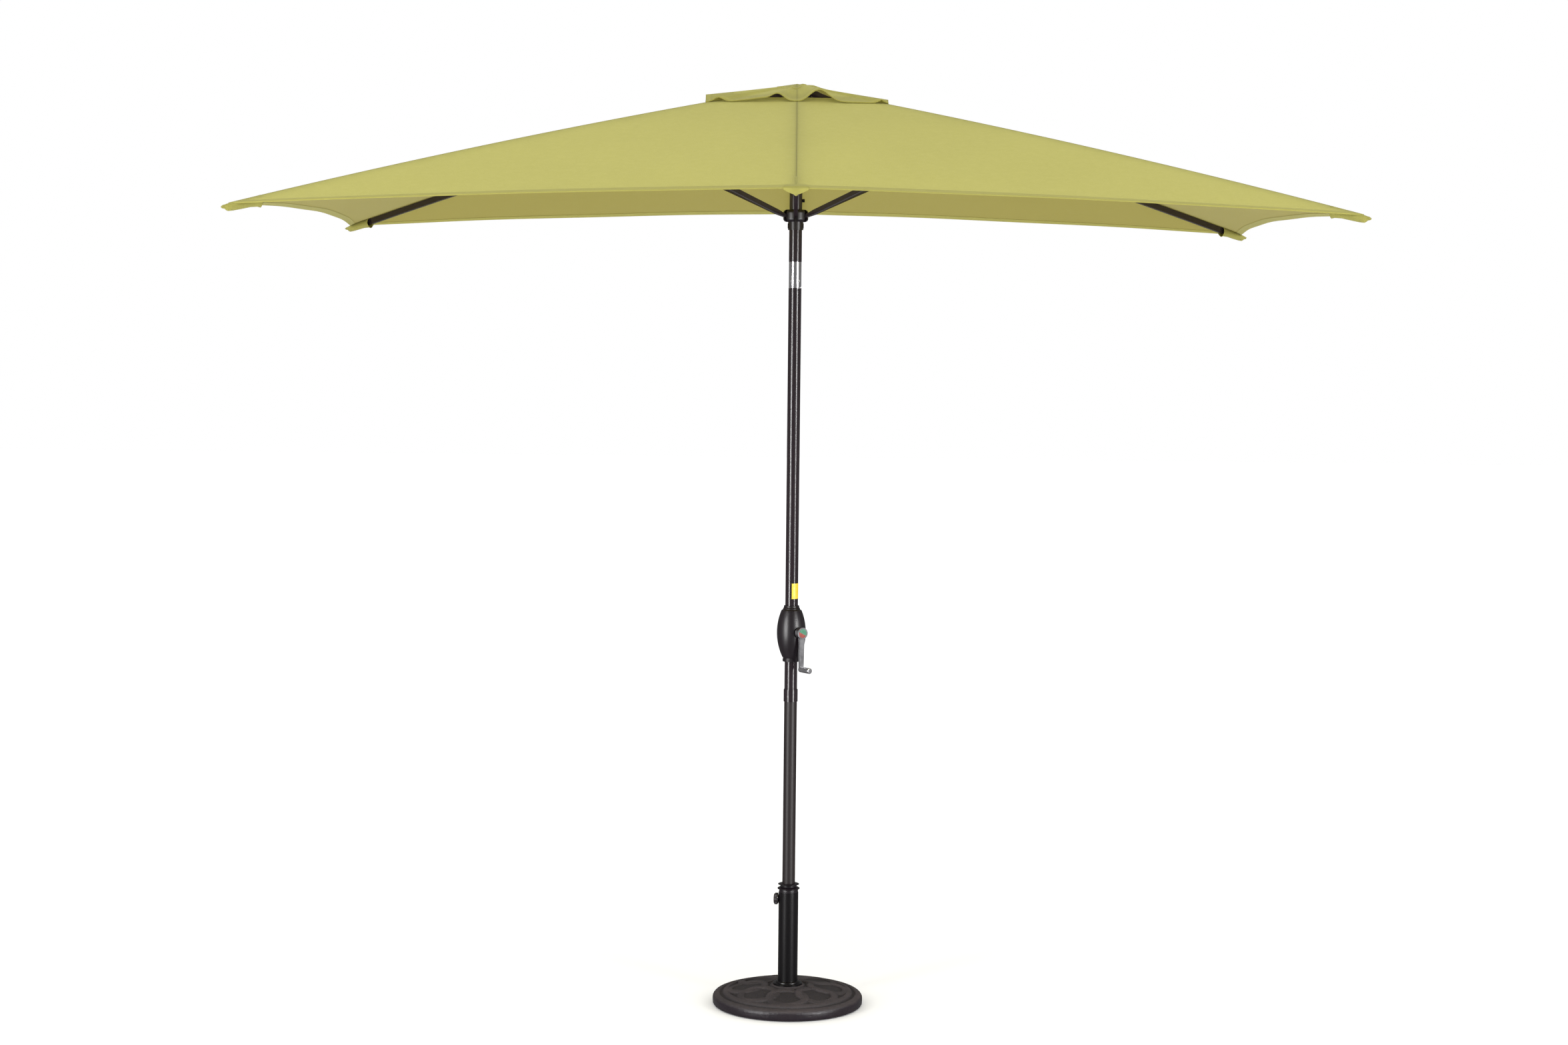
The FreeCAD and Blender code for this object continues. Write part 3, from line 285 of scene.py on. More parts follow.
def cloth_look(name, with_uv=True):
    """Plain-woven polyester: weave, uneven threads, sewn seams and hems, some light through, with
    painted shade on the underside and along each seam.
    """
    look = Look(name, roughness=0.82, sheen_weight=0.15, sheen_roughness=0.5)
    look.shader.inputs["Specular IOR Level"].default_value = 0.25
    weave_space = look.uv("weave") if with_uv else look.object_space
    across, along, _ = look.split(weave_space)
    threads = 2 * math.pi / THREAD_PITCH
    warp = look.math("SINE", look.math("MULTIPLY", across, threads))
    weft = look.math("SINE", look.math("MULTIPLY", along, threads))
    weave = look.math("MULTIPLY", warp, weft)
    slub_along = look.noise(1.0, 3.0, look.stretched(weave_space, (700, 45, 1)))
    slub_across = look.noise(1.0, 3.0, look.stretched(weave_space, (45, 700, 1)))
    slubs = look.math("ADD", slub_along, slub_across)
    broad = look.noise(2.2, 3.0)
    colour = look.mixed(look.spread(broad, 0.3, 0.7), CLOTH_LIGHT, CLOTH_SHADE)
    colour = look.mixed(look.spread(slubs, 0.85, 1.25, 0.0, 0.4), colour, THREAD_TINT)
    grain = look.noise(650, 2.0)
    cloud = look.noise(45, 4.0)
    colour = look.mixed(look.spread(grain, 0.40, 0.72, 0.0, 0.30), colour, SHADOW_TINT)
    colour = look.mixed(look.spread(cloud, 0.45, 0.80, 0.0, 0.22), colour, THREAD_TINT)
    layers = [(broad, 0.002), (cloud, 0.0003), (slubs, 0.00016), (weave, 0.00010)]
    if with_uv:
        side, hem, _ = look.split(look.uv("hem"))
        stitching = 2 * math.pi / STITCH_PITCH
        dash = look.math("SINE", look.math("MULTIPLY", along, stitching))
        dash = look.spread(dash, -0.6, -0.1)
        hem_dash = look.math("SINE", look.math("MULTIPLY", side, stitching))
        hem_dash = look.spread(hem_dash, -0.6, -0.1)
        away = look.math("ABSOLUTE", across)
        seam_row = look.math("MULTIPLY", look.band(away, SEAM_STITCH_AT, 0.0006), dash)
        hem_row = look.math("MULTIPLY", look.band(hem, HEM_STITCH_AT, 0.0008), hem_dash)
        stitches = look.math("MAXIMUM", seam_row, hem_row)
        pucker = look.noise(1.0, 2.0, look.stretched(weave_space, (14, 75, 1)))
        near_seam = look.spread(away, 0.0, 0.045, 1.0, 0.0)
        near_hem = look.spread(hem, 0.0, 0.035, 1.0, 0.0)
        hem_pucker = look.noise(1.0, 2.0, look.stretched(look.uv("hem"), (75, 14, 1)))
        pucker = look.math("MULTIPLY", pucker, near_seam)
        hem_pucker = look.math("MULTIPLY", hem_pucker, near_hem)
        colour = look.mixed(look.math("MULTIPLY", stitches, 0.35), colour, STITCH_TINT)
        # Painted shade: a dark line along the seam's crease, right at the seam.
        painted_seam_shade = look.math("MULTIPLY", look.band(away, 0.0, 0.0009), 0.85)
        colour = look.mixed(painted_seam_shade, colour, SEAM_SHADE_TINT)
        doubled = look.spread(hem, 0.016, HEM_STITCH_AT, 0.5, 0.0)
        colour = look.mixed(doubled, colour, HEM_TINT)
        layers += [(pucker, 0.0007), (hem_pucker, 0.0007), (stitches, 0.0004)]
    # Painted shade: the side of the cloth seen from below is mixed three quarters of the way to a
    # darker tint.
    underside_shade_mask = look.add("ShaderNodeNewGeometry").outputs["Backfacing"]
    painted_underside_colour = look.mixed(0.75, colour, PAINTED_UNDERSIDE_SHADE)
    colour = look.mixed(underside_shade_mask, colour, painted_underside_colour)
    look.colour(colour)
    normal = look.raised(*layers)
    through = look.add("ShaderNodeBsdfTranslucent", {"Color": colour, "Normal": normal})
    blend = look.add("ShaderNodeMixShader", {0: 0.32})
    look.feed(blend.inputs[1], look.shader.outputs["BSDF"])
    look.feed(blend.inputs[2], through.outputs["BSDF"])
    look.feed(look.output.inputs["Surface"], blend.outputs["Shader"])
    return look.material


def painted_metal_look(name, colour, shine, grain):
    """Powder-coated tube: fine orange peel, dust in the coat, thin rubbed streaks along it."""
    look = Look(name, metallic=0.0)
    look.shader.inputs["IOR"].default_value = 1.6 if shine < 0.25 else 1.4
    speck = look.noise(1400, 2.0)
    streak = look.noise(1.0, 4.0, look.stretched(look.object_space, (260, 260, 6)))
    lighter = tuple(min(1, part * 1.9 + 0.004) for part in colour[:3]) + (1,)
    base = look.mixed(look.spread(speck, 0.42, 0.75, 0.0, 0.5), colour, lighter)
    look.colour(look.mixed(look.spread(streak, 0.58, 0.8, 0.0, 0.5), base, lighter))
    wear = look.math("ADD", look.math("MULTIPLY", streak, 0.12), look.math("MULTIPLY", speck, 0.08))
    look.rough(look.math("ADD", wear, shine - 0.1))
    look.raised((look.noise(380, 2.0), grain), (speck, grain * 0.5))
    return look.material


def moulded_look(name, colour, shine, texture_scale, depth):
    """Moulded plastic: spark-eroded surface, faint flow marks, rubbed patches."""
    look = Look(name)
    erosion = look.noise(texture_scale, 3.0)
    flow = look.noise(1.0, 3.0, look.stretched(look.object_space, (22, 22, 5)))
    lighter = tuple(min(1, part * 1.7 + 0.004) for part in colour[:3]) + (1,)
    look.colour(look.mixed(look.spread(flow, 0.35, 0.75, 0.0, 0.6), colour, lighter))
    look.rough(look.spread(flow, 0.3, 0.8, shine, shine + 0.14))
    look.raised((flow, 0.0006), (erosion, depth))
    return look.material


def stone_look():
    """Resin-bound cast base, painted dark: gritty, pitted top with painted shade in the pattern's
    recesses, and a smoother moulded rim.
    """
    look = Look("base_stone_look")
    look.shader.inputs["Specular IOR Level"].default_value = 0.4
    grit = look.noise(900, 4.0, roughness=0.7)
    lumps = look.noise(120, 3.0)
    patches = look.noise(14, 3.0)
    pits = look.cells(260)
    dark, brown, dust = linear(54, 47, 49), linear(66, 57, 58), linear(98, 88, 86)
    colour = look.mixed(look.spread(patches, 0.35, 0.7), dark, brown)
    colour = look.mixed(look.spread(grit, 0.56, 0.78, 0.0, 0.55), colour, dust)
    raised, _, _ = look.split(look.uv("relief"))
    # Painted shade: the pattern's recesses, read from the relief map, are darker than its raised
    # bands.
    colour = look.mixed(look.spread(raised, 0.0, 0.85, 0.7, 0.0), colour, linear(36, 31, 33))
    _, _, z = look.split(look.object_space)
    side = look.spread(z, 0.024, 0.031, 1.0, 0.0)
    colour = look.mixed(look.math("MULTIPLY", side, 0.75), colour, linear(26, 19, 29))
    look.colour(colour)
    rough = look.spread(grit, 0.3, 0.8, 0.62, 0.85)
    look.rough(look.math("SUBTRACT", rough, look.math("MULTIPLY", side, 0.4)))
    calm = look.spread(side, 0.0, 1.0, 1.0, 0.35)
    look.raised((look.math("MULTIPLY", lumps, calm), 0.0022),
                (look.math("MULTIPLY", grit, calm), 0.0007),
                (look.math("MULTIPLY", look.spread(pits, 0.0, 0.22), calm), 0.0005))
    return look.material


def plated_look(name, colour, shine, scratch):
    """Bright plating with hairline polish marks and faint smears."""
    look = Look(name, metallic=1.0)
    hair = look.noise(1.0, 4.0, look.stretched(look.object_space, (2600, 2600, 140)))
    smear = look.noise(60, 3.0)
    dull = tuple(part * 0.82 for part in colour[:3]) + (1,)
    look.colour(look.mixed(look.spread(smear, 0.4, 0.75), colour, dull))
    look.rough(look.spread(smear, 0.35, 0.75, shine, shine + 0.1))
    look.raised((hair, scratch))
    return look.material


def rubber_look():
    look = Look("foot_rubber_look", roughness=0.85)
    look.colour(look.mixed(look.noise(90, 3.0), linear(24, 23, 23), linear(46, 44, 43)))
    look.raised((look.noise(700, 3.0), 0.0003))
    return look.material


def cord_look():
    """Braided polyester cord."""
    look = Look("lift_cord_look", roughness=0.8, sheen_weight=0.2)
    _, _, z = look.split(look.object_space)
    plait = look.math("SINE", look.math("MULTIPLY", z, 2 * math.pi / 0.0022))
    fleck = look.noise(1500, 2.0)
    look.colour(look.mixed(look.spread(fleck, 0.4, 0.7), linear(28, 27, 28), linear(62, 60, 58)))
    look.raised((plait, 0.0002), (fleck, 0.0001))
    return look.material


def label_look():
    """Blank glossy sticker with a faint mottle."""
    look = Look("label_look")
    blotch = look.noise(140, 3.0)
    share = look.spread(blotch, 0.35, 0.7)
    look.colour(look.mixed(share, linear(238, 214, 52), linear(224, 194, 40)))
    look.rough(look.spread(blotch, 0.3, 0.7, 0.32, 0.5))
    look.raised((look.noise(500, 2.0), 0.0001))
    return look.material


def badge_look(centre_x, centre_z):
    """Two-colour printed disc: green, with a red part at the lower left, and worn print."""
    look = Look("badge_look", coat_weight=0.6)
    x, _, z = look.split(look.object_space)
    across = look.math("MULTIPLY", look.math("SUBTRACT", x, centre_x), 0.62)
    level = look.math("ADD", look.math("SUBTRACT", z, centre_z), across)
    below = look.spread(level, -0.0016, -0.0012, 1.0, 0.0)
    wear = look.noise(420, 4.0)
    green = look.mixed(look.spread(wear, 0.5, 0.75), linear(52, 128, 96), linear(96, 160, 132))
    red = look.mixed(look.spread(wear, 0.5, 0.75), linear(150, 44, 30), linear(176, 88, 70))
    look.colour(look.mixed(below, green, red))
    look.rough(look.spread(wear, 0.3, 0.7, 0.25, 0.45))
    look.raised((wear, 0.0002))
    return look.material


def floor_look():
    look = Look("floor_look", roughness=0.9)
    look.shader.inputs["Specular IOR Level"].default_value = 0.0
    mottle = look.noise(1.5, 3.0)
    look.colour(look.mixed(mottle, (0.97, 0.97, 0.97, 1), (0.95, 0.95, 0.95, 1)))
    return look.material


cloth = cloth_look("canopy_cloth_look")
plain_cloth = cloth_look("pocket_cloth_look", with_uv=False)
badge_low, badge_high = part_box("crank_badge")
looks = {
    "canopy_cloth": cloth,
    "frame_bronze": painted_metal_look("frame_bronze_look", linear(32, 23, 28), 0.17, 0.00001),
    "case_plastic": moulded_look("case_plastic_look", linear(20, 12, 19), 0.27, 900, 0.00004),
    "black_plastic": moulded_look("black_plastic_look", linear(38, 33, 38), 0.38, 700, 0.00012),
    "base_stone": stone_look(),
    "tube_black": painted_metal_look("tube_black_look", linear(8, 5, 8), 0.3, 0.00003),
    "bright_plate": plated_look("bright_plate_look", (0.80, 0.79, 0.82, 1), 0.13, 0.000004),
    "plain_steel": plated_look("plain_steel_look", (0.52, 0.52, 0.53, 1), 0.3, 0.00002),
    "foot_rubber": rubber_look(),
    "lift_cord": cord_look(),
    "label_yellow": label_look(),
    "badge_colours": badge_look((badge_low.x + badge_high.x) / 2, (badge_low.z + badge_high.z) / 2),
}
matte_bronze = painted_metal_look("lower_pole_look", linear(34, 26, 27), 0.42, 0.00005)

for row in frame["record"]["subparts"]:
    node = frame["nodes"][row["node"]]
    finish = matte_bronze if row["node"] == "lower_pole" else looks[row["material_slot"]]
    for material_slot in node.material_slots:
        material_slot.material = finish


# ---- canopy --------------------------------------------------------------------------------
def fabric_z(rib, share):
    return APEX_Z - rib[3] * share - rib[4] * share * share


def panel_point(first, second, share, across):
    """A point of the panel between two ribs, share from apex to hem, across from rib to rib."""
    depth = END_SCALLOP if first[2] == second[2] else SIDE_SCALLOP
    belly = 4 * across * (1 - across)
    pulled = share * (1 - depth * belly * share)
    a = direction(first[1]) * first[2] * pulled + Vector((0, 0, fabric_z(first, pulled)))
    b = direction(second[1]) * second[2] * pulled + Vector((0, 0, fabric_z(second, pulled)))
    point = a * (1 - across) + b * across
    point.z -= PANEL_SAG * belly * pulled
    ripple = math.sin(point.x * 9 + 1.3) * math.sin(point.y * 11 + 0.7)
    point.z += 0.0008 * ripple * min(1.0, 8 * across * (1 - across))
    return point


def neighbour(index, side):
    return RIBS[(index + side) % len(RIBS)]


def reach_sideways(index, side):
    """How far the next rib's tip lies sideways from this rib's line."""
    other = neighbour(index, side)
    return other[2] * abs(math.sin(math.radians(other[1] - RIBS[index][1])))


def surface_at(index, side, share, lateral):
    """The canopy's surface beside a rib, a given number of metres to one side of its seam."""
    across = lateral / (reach_sideways(index, side) * share)
    return panel_point(RIBS[index], neighbour(index, side), share, across)


def half_width(index, side):
    """Where the half panel ends: on the line that halves the angle between the two ribs."""
    other = neighbour(index, side)
    return RIBS[index][2] / (RIBS[index][2] + other[2])


def flat_size(vertices, out, along):
    """Width and length that a half panel or half gore is cut to, with its hem's return."""
    width = max(abs(v.dot(out)) for v in vertices)
    lengths = [v.dot(along) for v in vertices]
    return width, max(lengths) - min(lengths) + HEM_WIDTH


# distance from the seam, height above the panel
SEAM_COLUMNS = [(0.0, -0.0006), (0.0005, -0.0001), (0.003, 0.0004), (0.009, 0.0)]
PANEL_COLUMNS = 20
PANEL_ROWS = 44
PLAIN_START = 0.16
# the rolled hem: distance outwards and height, then distance back under the cloth and height
HEM_OUTSIDE = [(0.0008, -0.0004), (0.0012, -0.0014), (0.0008, -0.0026), (-0.0004, -0.0032)]
HEM_RETURN = [(0.004, -0.0026), (0.010, -0.0018), (HEM_WIDTH, -0.0012)]


def panel_column(index, side, share, column):
    """One point of a half panel: the first columns follow the seam, the rest spread evenly."""
    rib, other = RIBS[index], neighbour(index, side)
    if column < len(SEAM_COLUMNS):
        lateral, lift = SEAM_COLUMNS[column]
        return surface_at(index, side, share, lateral) + Vector((0, 0, lift))
    edge = half_width(index, side)
    step = (column - len(SEAM_COLUMNS)) / (PANEL_COLUMNS - 1)
    across = edge * (PLAIN_START + (1 - PLAIN_START) * step)
    return panel_point(rib, other, share, across)


def hem_rows(index, side, column):
    """The rolled hem at one column: out and down over the edge, then back under the cloth."""
    edge = panel_column(index, side, 1.0, column)
    inner = panel_column(index, side, 0.99, column)
    slope = (edge - inner).normalized()
    points = [edge + slope * out + Vector((0, 0, down)) for out, down in HEM_OUTSIDE]
    per_metre = 0.01 / (edge - inner).length
    for inward, down in HEM_RETURN:
        under = panel_column(index, side, 1.0 - inward * per_metre, column)
        points.append(under + Vector((0, 0, down)))
    return points


def half_panel(index, side):
    """Half of a sewn panel, from a rib's seam to the line where the next rib's half begins."""
    rib = RIBS[index]
    columns = len(SEAM_COLUMNS) + PANEL_COLUMNS
    near_hem = [1 - share for share in (0.012, 0.006, 0.0)]
    even = [VENT_HOLE + (0.985 - VENT_HOLE) * row / (PANEL_ROWS - 1) for row in range(PANEL_ROWS)]
    rows = []
    for share in even + near_hem:
        rows.append([panel_column(index, side, share, c) for c in range(columns)])
    hems = [hem_rows(index, side, c) for c in range(columns)]
    edge_row = rows[-1]
    for step in range(len(HEM_OUTSIDE) + len(HEM_RETURN)):
        rows.append([hem[step] for hem in hems])
    vertices = [point for row in rows for point in row]
    out, along = sideways(rib[1]), direction(rib[1])
    weave, hem_map = [], []
    for row_number, row in enumerate(rows):
        beyond = row_number >= len(even) + len(near_hem)
        for column, point in enumerate(row):
            lateral = point.dot(out)
            distance = 0.0 if beyond else (point - edge_row[column]).length
            weave.append((lateral, point.dot(along)))
            hem_map.append((lateral, distance))
    other = neighbour(index, side)
    if rib[2] == HALF_DEPTH:
        part = "right" if side > 0 else "left"
    else:
        part = "end" if rib[2] == other[2] else "long"
    faces = grid_faces(len(rows), columns, flip=side > 0)
    piece = mesh_piece(f"cloth_{rib[0]}_{part}", vertices, faces, cloth, "rib_" + rib[0],
                       uvs={"weave": weave, "hem": hem_map})
    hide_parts("canopy_" + rib[0])
    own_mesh(piece)
    return piece, flat_size(vertices, out, along)


# ---- vent cap ------------------------------------------------------------------------------
def cap_edge_lift(point, share):
    """How far the cap's loose edge stands up between the places where it is sewn down."""
    x, y = point.x, point.y
    half_x = HALF_LENGTH * VENT_CAP
    half_y = HALF_DEPTH * VENT_CAP
    on_long_side = abs(y) / half_y >= abs(x) / half_x
    if on_long_side:
        at = x / max(share, 0.05)
        if y < 0:
            lift = (0.034 * bump(at, 0.064, 0.036) + 0.021 * bump(at, -0.055, 0.024)
                    + 0.009 * bump(at, -0.100, 0.034) + 0.013 * bump(at, -0.226, 0.018)
                    + 0.003 * bump(at, -0.150, 0.030) + 0.014 * bump(at, 0.250, 0.016))
        else:
            lift = (0.020 * bump(at, -0.075, 0.04) + 0.013 * bump(at, 0.085, 0.05)
                    + 0.010 * bump(at, -0.19, 0.03) + 0.007 * bump(at, 0.20, 0.03))
        from_seam = 1 - bump(at, 0.0, 0.018)
        from_corner = 1 - bump(abs(at), half_x, 0.014)
    else:
        at = y / max(share, 0.05)
        high = 0.024 if x < 0 else 0.014
        lift = high * bump(at, -0.10, 0.06) + 0.8 * high * bump(at, 0.07, 0.06)
        from_seam = 1.0
        from_corner = 1 - bump(abs(at), half_y, 0.03)
    return lift * from_seam * from_corner


def cap_point(first, second, share, across):
    """A point of the vent cap between two ribs, share from the apex (0) to its edge (1)."""
    points = []
    for rib in (first, second):
        top = Vector((0, 0, CAP_APEX_Z))
        low = direction(rib[1]) * rib[2] * VENT_CAP
        low.z = fabric_z(rib, VENT_CAP) + CAP_LIFT
        points.append(top.lerp(low, share))
    point = points[0].lerp(points[1], across)
    point.z += cap_edge_lift(point, share) * share ** 1.15
    fullness = bump(point.x, 0.034, 0.034) * bump(point.y, -0.050, 0.060)
    point.z += 0.007 * fullness * smooth(share / 0.25)
    flare = 0.004 * math.sin(across * math.pi) ** 2 * share ** 4
    outward = Vector((point.x, point.y, 0))
    return point + outward.normalized() * flare if outward.length else point


CAP_ROWS = 22
CAP_COLUMNS = 18
CAP_HEM_THICK = 0.0035


def half_cap(index, side):
    """Half of a cap gore beside one rib, hemmed at its loose edge."""
    rib, other = RIBS[index], neighbour(index, side)
    edge = half_width(index, side)
    reach = (rib[2] * (1 - edge) + other[2] * edge) * VENT_CAP
    shortest = min(rib[2], other[2]) * VENT_CAP
    start = 0.8 * CROWN_R / max(reach, shortest)
    shares = [start + (1 - start) * row / (CAP_ROWS - 1) for row in range(CAP_ROWS)]
    rows = []
    for share in shares:
        rows.append([cap_point(rib, other, share, edge * c / (CAP_COLUMNS - 1))
                     for c in range(CAP_COLUMNS)])
    rows.append([point + Vector((0, 0, -CAP_HEM_THICK)) for point in rows[-1]])
    inner = [cap_point(rib, other, 0.94, edge * c / (CAP_COLUMNS - 1)) for c in range(CAP_COLUMNS)]
    rows.append([point + Vector((0, 0, -0.0022)) for point in inner])
    vertices = [point for row in rows for point in row]
    out, along = sideways(rib[1]), direction(rib[1])
    edge_row = rows[CAP_ROWS - 1]
    weave, hem_map = [], []
    for row_number, row in enumerate(rows):
        for column, point in enumerate(row):
            distance = 0.0 if row_number >= CAP_ROWS else (point - edge_row[column]).length
            weave.append((point.dot(out), point.dot(along)))
            hem_map.append((point.dot(out), distance))
    part = "right" if side > 0 else "left"
    piece = mesh_piece(f"cap_{rib[0]}_{part}", vertices,
                       grid_faces(len(rows), CAP_COLUMNS, flip=side > 0), cloth,
                       "rib_" + rib[0], uvs={"weave": weave, "hem": hem_map})
    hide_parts("vent_cap")
    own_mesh(piece)
    return piece


def cap_crown():
    """The sewn crown of the cap, fastened over the hub's nut."""
    rings, segments = 14, 72
    vertices = []
    for ring in range(rings + 1):
        radius = CROWN_R * ring / rings
        for step in range(segments):
            azimuth = 360 * step / segments
            vertices.append(crown_point(azimuth, max(radius, 0.0006)))
    vertices += [v + Vector((0, 0, -0.0025)) for v in vertices[-segments:]]
    faces = grid_faces(rings + 2, segments, closed=True, flip=True)
    faces.append(tuple(range(segments)))
    weave = [(v.x, v.y) for v in vertices]
    hem_map = [(math.atan2(v.y, v.x) * CROWN_R, CROWN_R - math.hypot(v.x, v.y)) for v in vertices]
    piece = mesh_piece("cap_crown", vertices, faces, cloth, "tilt_head",
                       uvs={"weave": weave, "hem": hem_map})
    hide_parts("vent_cap")
    return piece


def crown_point(azimuth, radius):
    """A point of the cap's crown, just above the gores."""
    for index, rib in enumerate(RIBS):
        other = neighbour(index, 1)
        span = (other[1] - rib[1]) % 360
        turn = (azimuth - rib[1]) % 360
        if turn <= span:
            a, b = math.radians(turn), math.radians(span - turn)
            across = rib[2] * math.sin(a) / (rib[2] * math.sin(a) + other[2] * math.sin(b))
            flat = direction(rib[1]) * rib[2] * (1 - across)
            flat = flat + direction(other[1]) * other[2] * across
            share = radius / (flat.length * VENT_CAP)
            return cap_point(rib, other, share, across) + Vector((0, 0, 0.0012))
    return Vector((0, 0, CAP_APEX_Z))


# ---- pockets, patches ----------------------------------------------------------------------
# distance from the rib's tip (outwards), half width, half height, height of the centre
POCKET_RINGS = [
    (-0.045, 0.0095, 0.0105, -0.0125), (-0.078, 0.0120, 0.0130, -0.0140),
    (-0.086, 0.0150, 0.0150, -0.0155), (-0.089, 0.0160, 0.0160, -0.0160),
    (-0.088, 0.0168, 0.0166, -0.0160), (-0.080, 0.0135, 0.0145, -0.0145),
    (-0.060, 0.0118, 0.0128, -0.0132), (-0.035, 0.0112, 0.0122, -0.0127),
    (-0.012, 0.0104, 0.0112, -0.0120), (0.002, 0.0094, 0.0100, -0.0112),
    (0.007, 0.0080, 0.0082, -0.0100), (0.011, 0.0046, 0.0052, -0.0084),
    (0.015, 0.0050, 0.0046, -0.0076), (0.019, 0.0062, 0.0030, -0.0070),
]


def tip_pocket(index):
    """Sewn sleeve under a corner that holds the rib's end, open towards the pole."""
    rib = RIBS[index]
    out, along = sideways(rib[1]), direction(rib[1])
    slope = (fabric_z(rib, 1.0) - fabric_z(rib, 0.98)) / (0.02 * rib[2])
    segments = 32
    vertices = []
    rings = POCKET_RINGS[:-3] if rib[2] == HALF_DEPTH else POCKET_RINGS
    for offset, half_wide, half_high, below in rings:
        centre = along * (rib[2] + offset)
        centre.z = fabric_z(rib, 1.0) + slope * offset + below
        crumple = smooth((offset - 0.004) / 0.010)
        for step in range(segments):
            angle = 2 * math.pi * step / segments
            folds = 1 + 0.04 * math.sin(3 * angle + 60 * offset)
            folds += 0.16 * crumple * math.sin(5 * angle)
            x = half_wide * folds * math.cos(angle)
            z = half_high * folds * math.sin(angle)
            if z < 0:
                x *= 1 - 0.25 * (z / half_high) ** 2
            vertices.append(centre + out * x + Vector((0, 0, z)))
    faces = grid_faces(len(rings), segments, closed=True)
    last = (len(rings) - 1) * segments
    faces.append(tuple(last + step for step in range(segments)))
    piece = mesh_piece("pocket_" + rib[0], vertices, faces, plain_cloth, "rib_" + rib[0])
    return piece


PATCH_COLUMNS = 25
PATCH_ROWS = 9
PATCH_HALF = 0.037
PATCH_LONG = 0.019
FLAP_ROWS = 7
FLAP_HALF = 0.033
FLAP_DROP = 0.020
WEAVE_ASIDE = 0.1  # keeps the rib's seam out of the patch's weave


def stitched_patch(index):
    """Patch sewn over the end of a middle rib."""
    rib = RIBS[index]
    vertices, weave, hem_map = [], [], []
    for row in range(PATCH_ROWS):
        up = row / (PATCH_ROWS - 1)
        half = PATCH_HALF - 0.006 * up
        share = 1 - (0.001 + PATCH_LONG * up) / rib[2]
        for column in range(PATCH_COLUMNS):
            lateral = half * (2 * column / (PATCH_COLUMNS - 1) - 1)
            side = 1 if lateral >= 0 else -1
            point = surface_at(index, side, share, abs(lateral))
            border = min(half - abs(lateral), PATCH_LONG * up, PATCH_LONG * (1 - up) + 0.004)
            lift = 0.0005 + 0.0016 * smooth(border / 0.003)
            vertices.append(point + Vector((0, 0, lift)))
            weave.append((lateral + WEAVE_ASIDE, up * 0.02))
            hem_map.append((lateral, border + 0.0155))
    faces = grid_faces(PATCH_ROWS, PATCH_COLUMNS)
    patch = mesh_piece("patch_" + rib[0], vertices, faces, cloth, "rib_" + rib[0],
                       uvs={"weave": weave, "hem": hem_map})
    return patch


def hanging_flap(index):
    """Small flap below the hem, under the patch of a middle rib."""
    rib = RIBS[index]
    along = direction(rib[1])
    vertices, weave, hem_map = [], [], []
    for row in range(FLAP_ROWS):
        down = row / (FLAP_ROWS - 1)
        for column in range(PATCH_COLUMNS):
            s = 2 * column / (PATCH_COLUMNS - 1) - 1
            lateral = FLAP_HALF * s
            side = 1 if lateral >= 0 else -1
            edge = surface_at(index, side, 1.0, abs(lateral))
            drop = FLAP_DROP * (1 - 0.7 * abs(s) ** 1.4) * down
            bulge = 0.002 + 0.009 * math.sin(math.pi * min(1, down * 0.8)) * (1 - s * s)
            vertices.append(edge + along * bulge + Vector((0, 0, 0.0006 - drop)))
            weave.append((lateral + WEAVE_ASIDE, down * 0.02))
            hem_map.append((lateral, 0.02 * (1 - down)))
    faces = grid_faces(FLAP_ROWS, PATCH_COLUMNS, flip=True)
    flap = mesh_piece("flap_" + rib[0], vertices, faces, cloth, "rib_" + rib[0],
                      uvs={"weave": weave, "hem": hem_map})
    return flap


for index, rib in enumerate(RIBS):
    extras = [tip_pocket(index)]
    if rib[2] == HALF_DEPTH:
        extras += [stitched_patch(index), hanging_flap(index)]
    for side in (1, -1):
        piece, flat = half_panel(index, side)
        half_cap(index, side)
cap_crown()


# ---- base ----------------------------------------------------------------------------------
BASE_R = 0.225
RIM_ROUND = 0.014
TOP_START_R = 0.036
COLLAR_R = 0.046
FOOT_HOLE_R = 0.0296
TOP_STEPS = 132
RING_COUNT = 8
RING_R = 0.054
RING_AT = 0.122
RIBBON_HALF = 0.0115
RIBBON_HIGH = 0.0068
RIBBON_SUNK = 0.0048
OUTER_BAND_R = 0.186
BASE_SEGMENTS = 480


def ribbon(distance, half=RIBBON_HALF):
    """Rounded cross-section of a raised band, with steep sides."""
    inside = 1 - (distance / half) ** 4
    return math.sqrt(inside) if inside > 0 else 0.0


def relief(x, y):
    """Height of the cast pattern: a chain of interlaced rings inside a plain outer band."""
    radius = math.hypot(x, y)
    height = 0.85 * ribbon(radius - OUTER_BAND_R, 0.0085)
    turn = 2 * math.pi / RING_COUNT
    nearest = round(math.atan2(y, x) / turn)
    for number in range(nearest - 2, nearest + 3):
        angle = number * turn
        dx, dy = x - RING_AT * math.cos(angle), y - RING_AT * math.sin(angle)
        raised = ribbon(math.hypot(dx, dy) - RING_R)
        if raised:
            local = math.atan2(dy, dx) - angle
            height = max(height, raised * (0.74 + 0.26 * math.sin(2 * local)))
    return height


def dome_z(radius):
    """The disc's plain top, from the foot collar out to the rim's shoulder."""
    middle, middle_z = 0.130, 0.0515
    inner, inner_z = COLLAR_R, 0.060
    outer, outer_z = BASE_R - RIM_ROUND, 0.033
    a = (radius - middle) * (radius - outer) / ((inner - middle) * (inner - outer))
    b = (radius - inner) * (radius - outer) / ((middle - inner) * (middle - outer))
    c = (radius - inner) * (radius - middle) / ((outer - inner) * (outer - middle))
    return inner_z * a + middle_z * b + outer_z * c


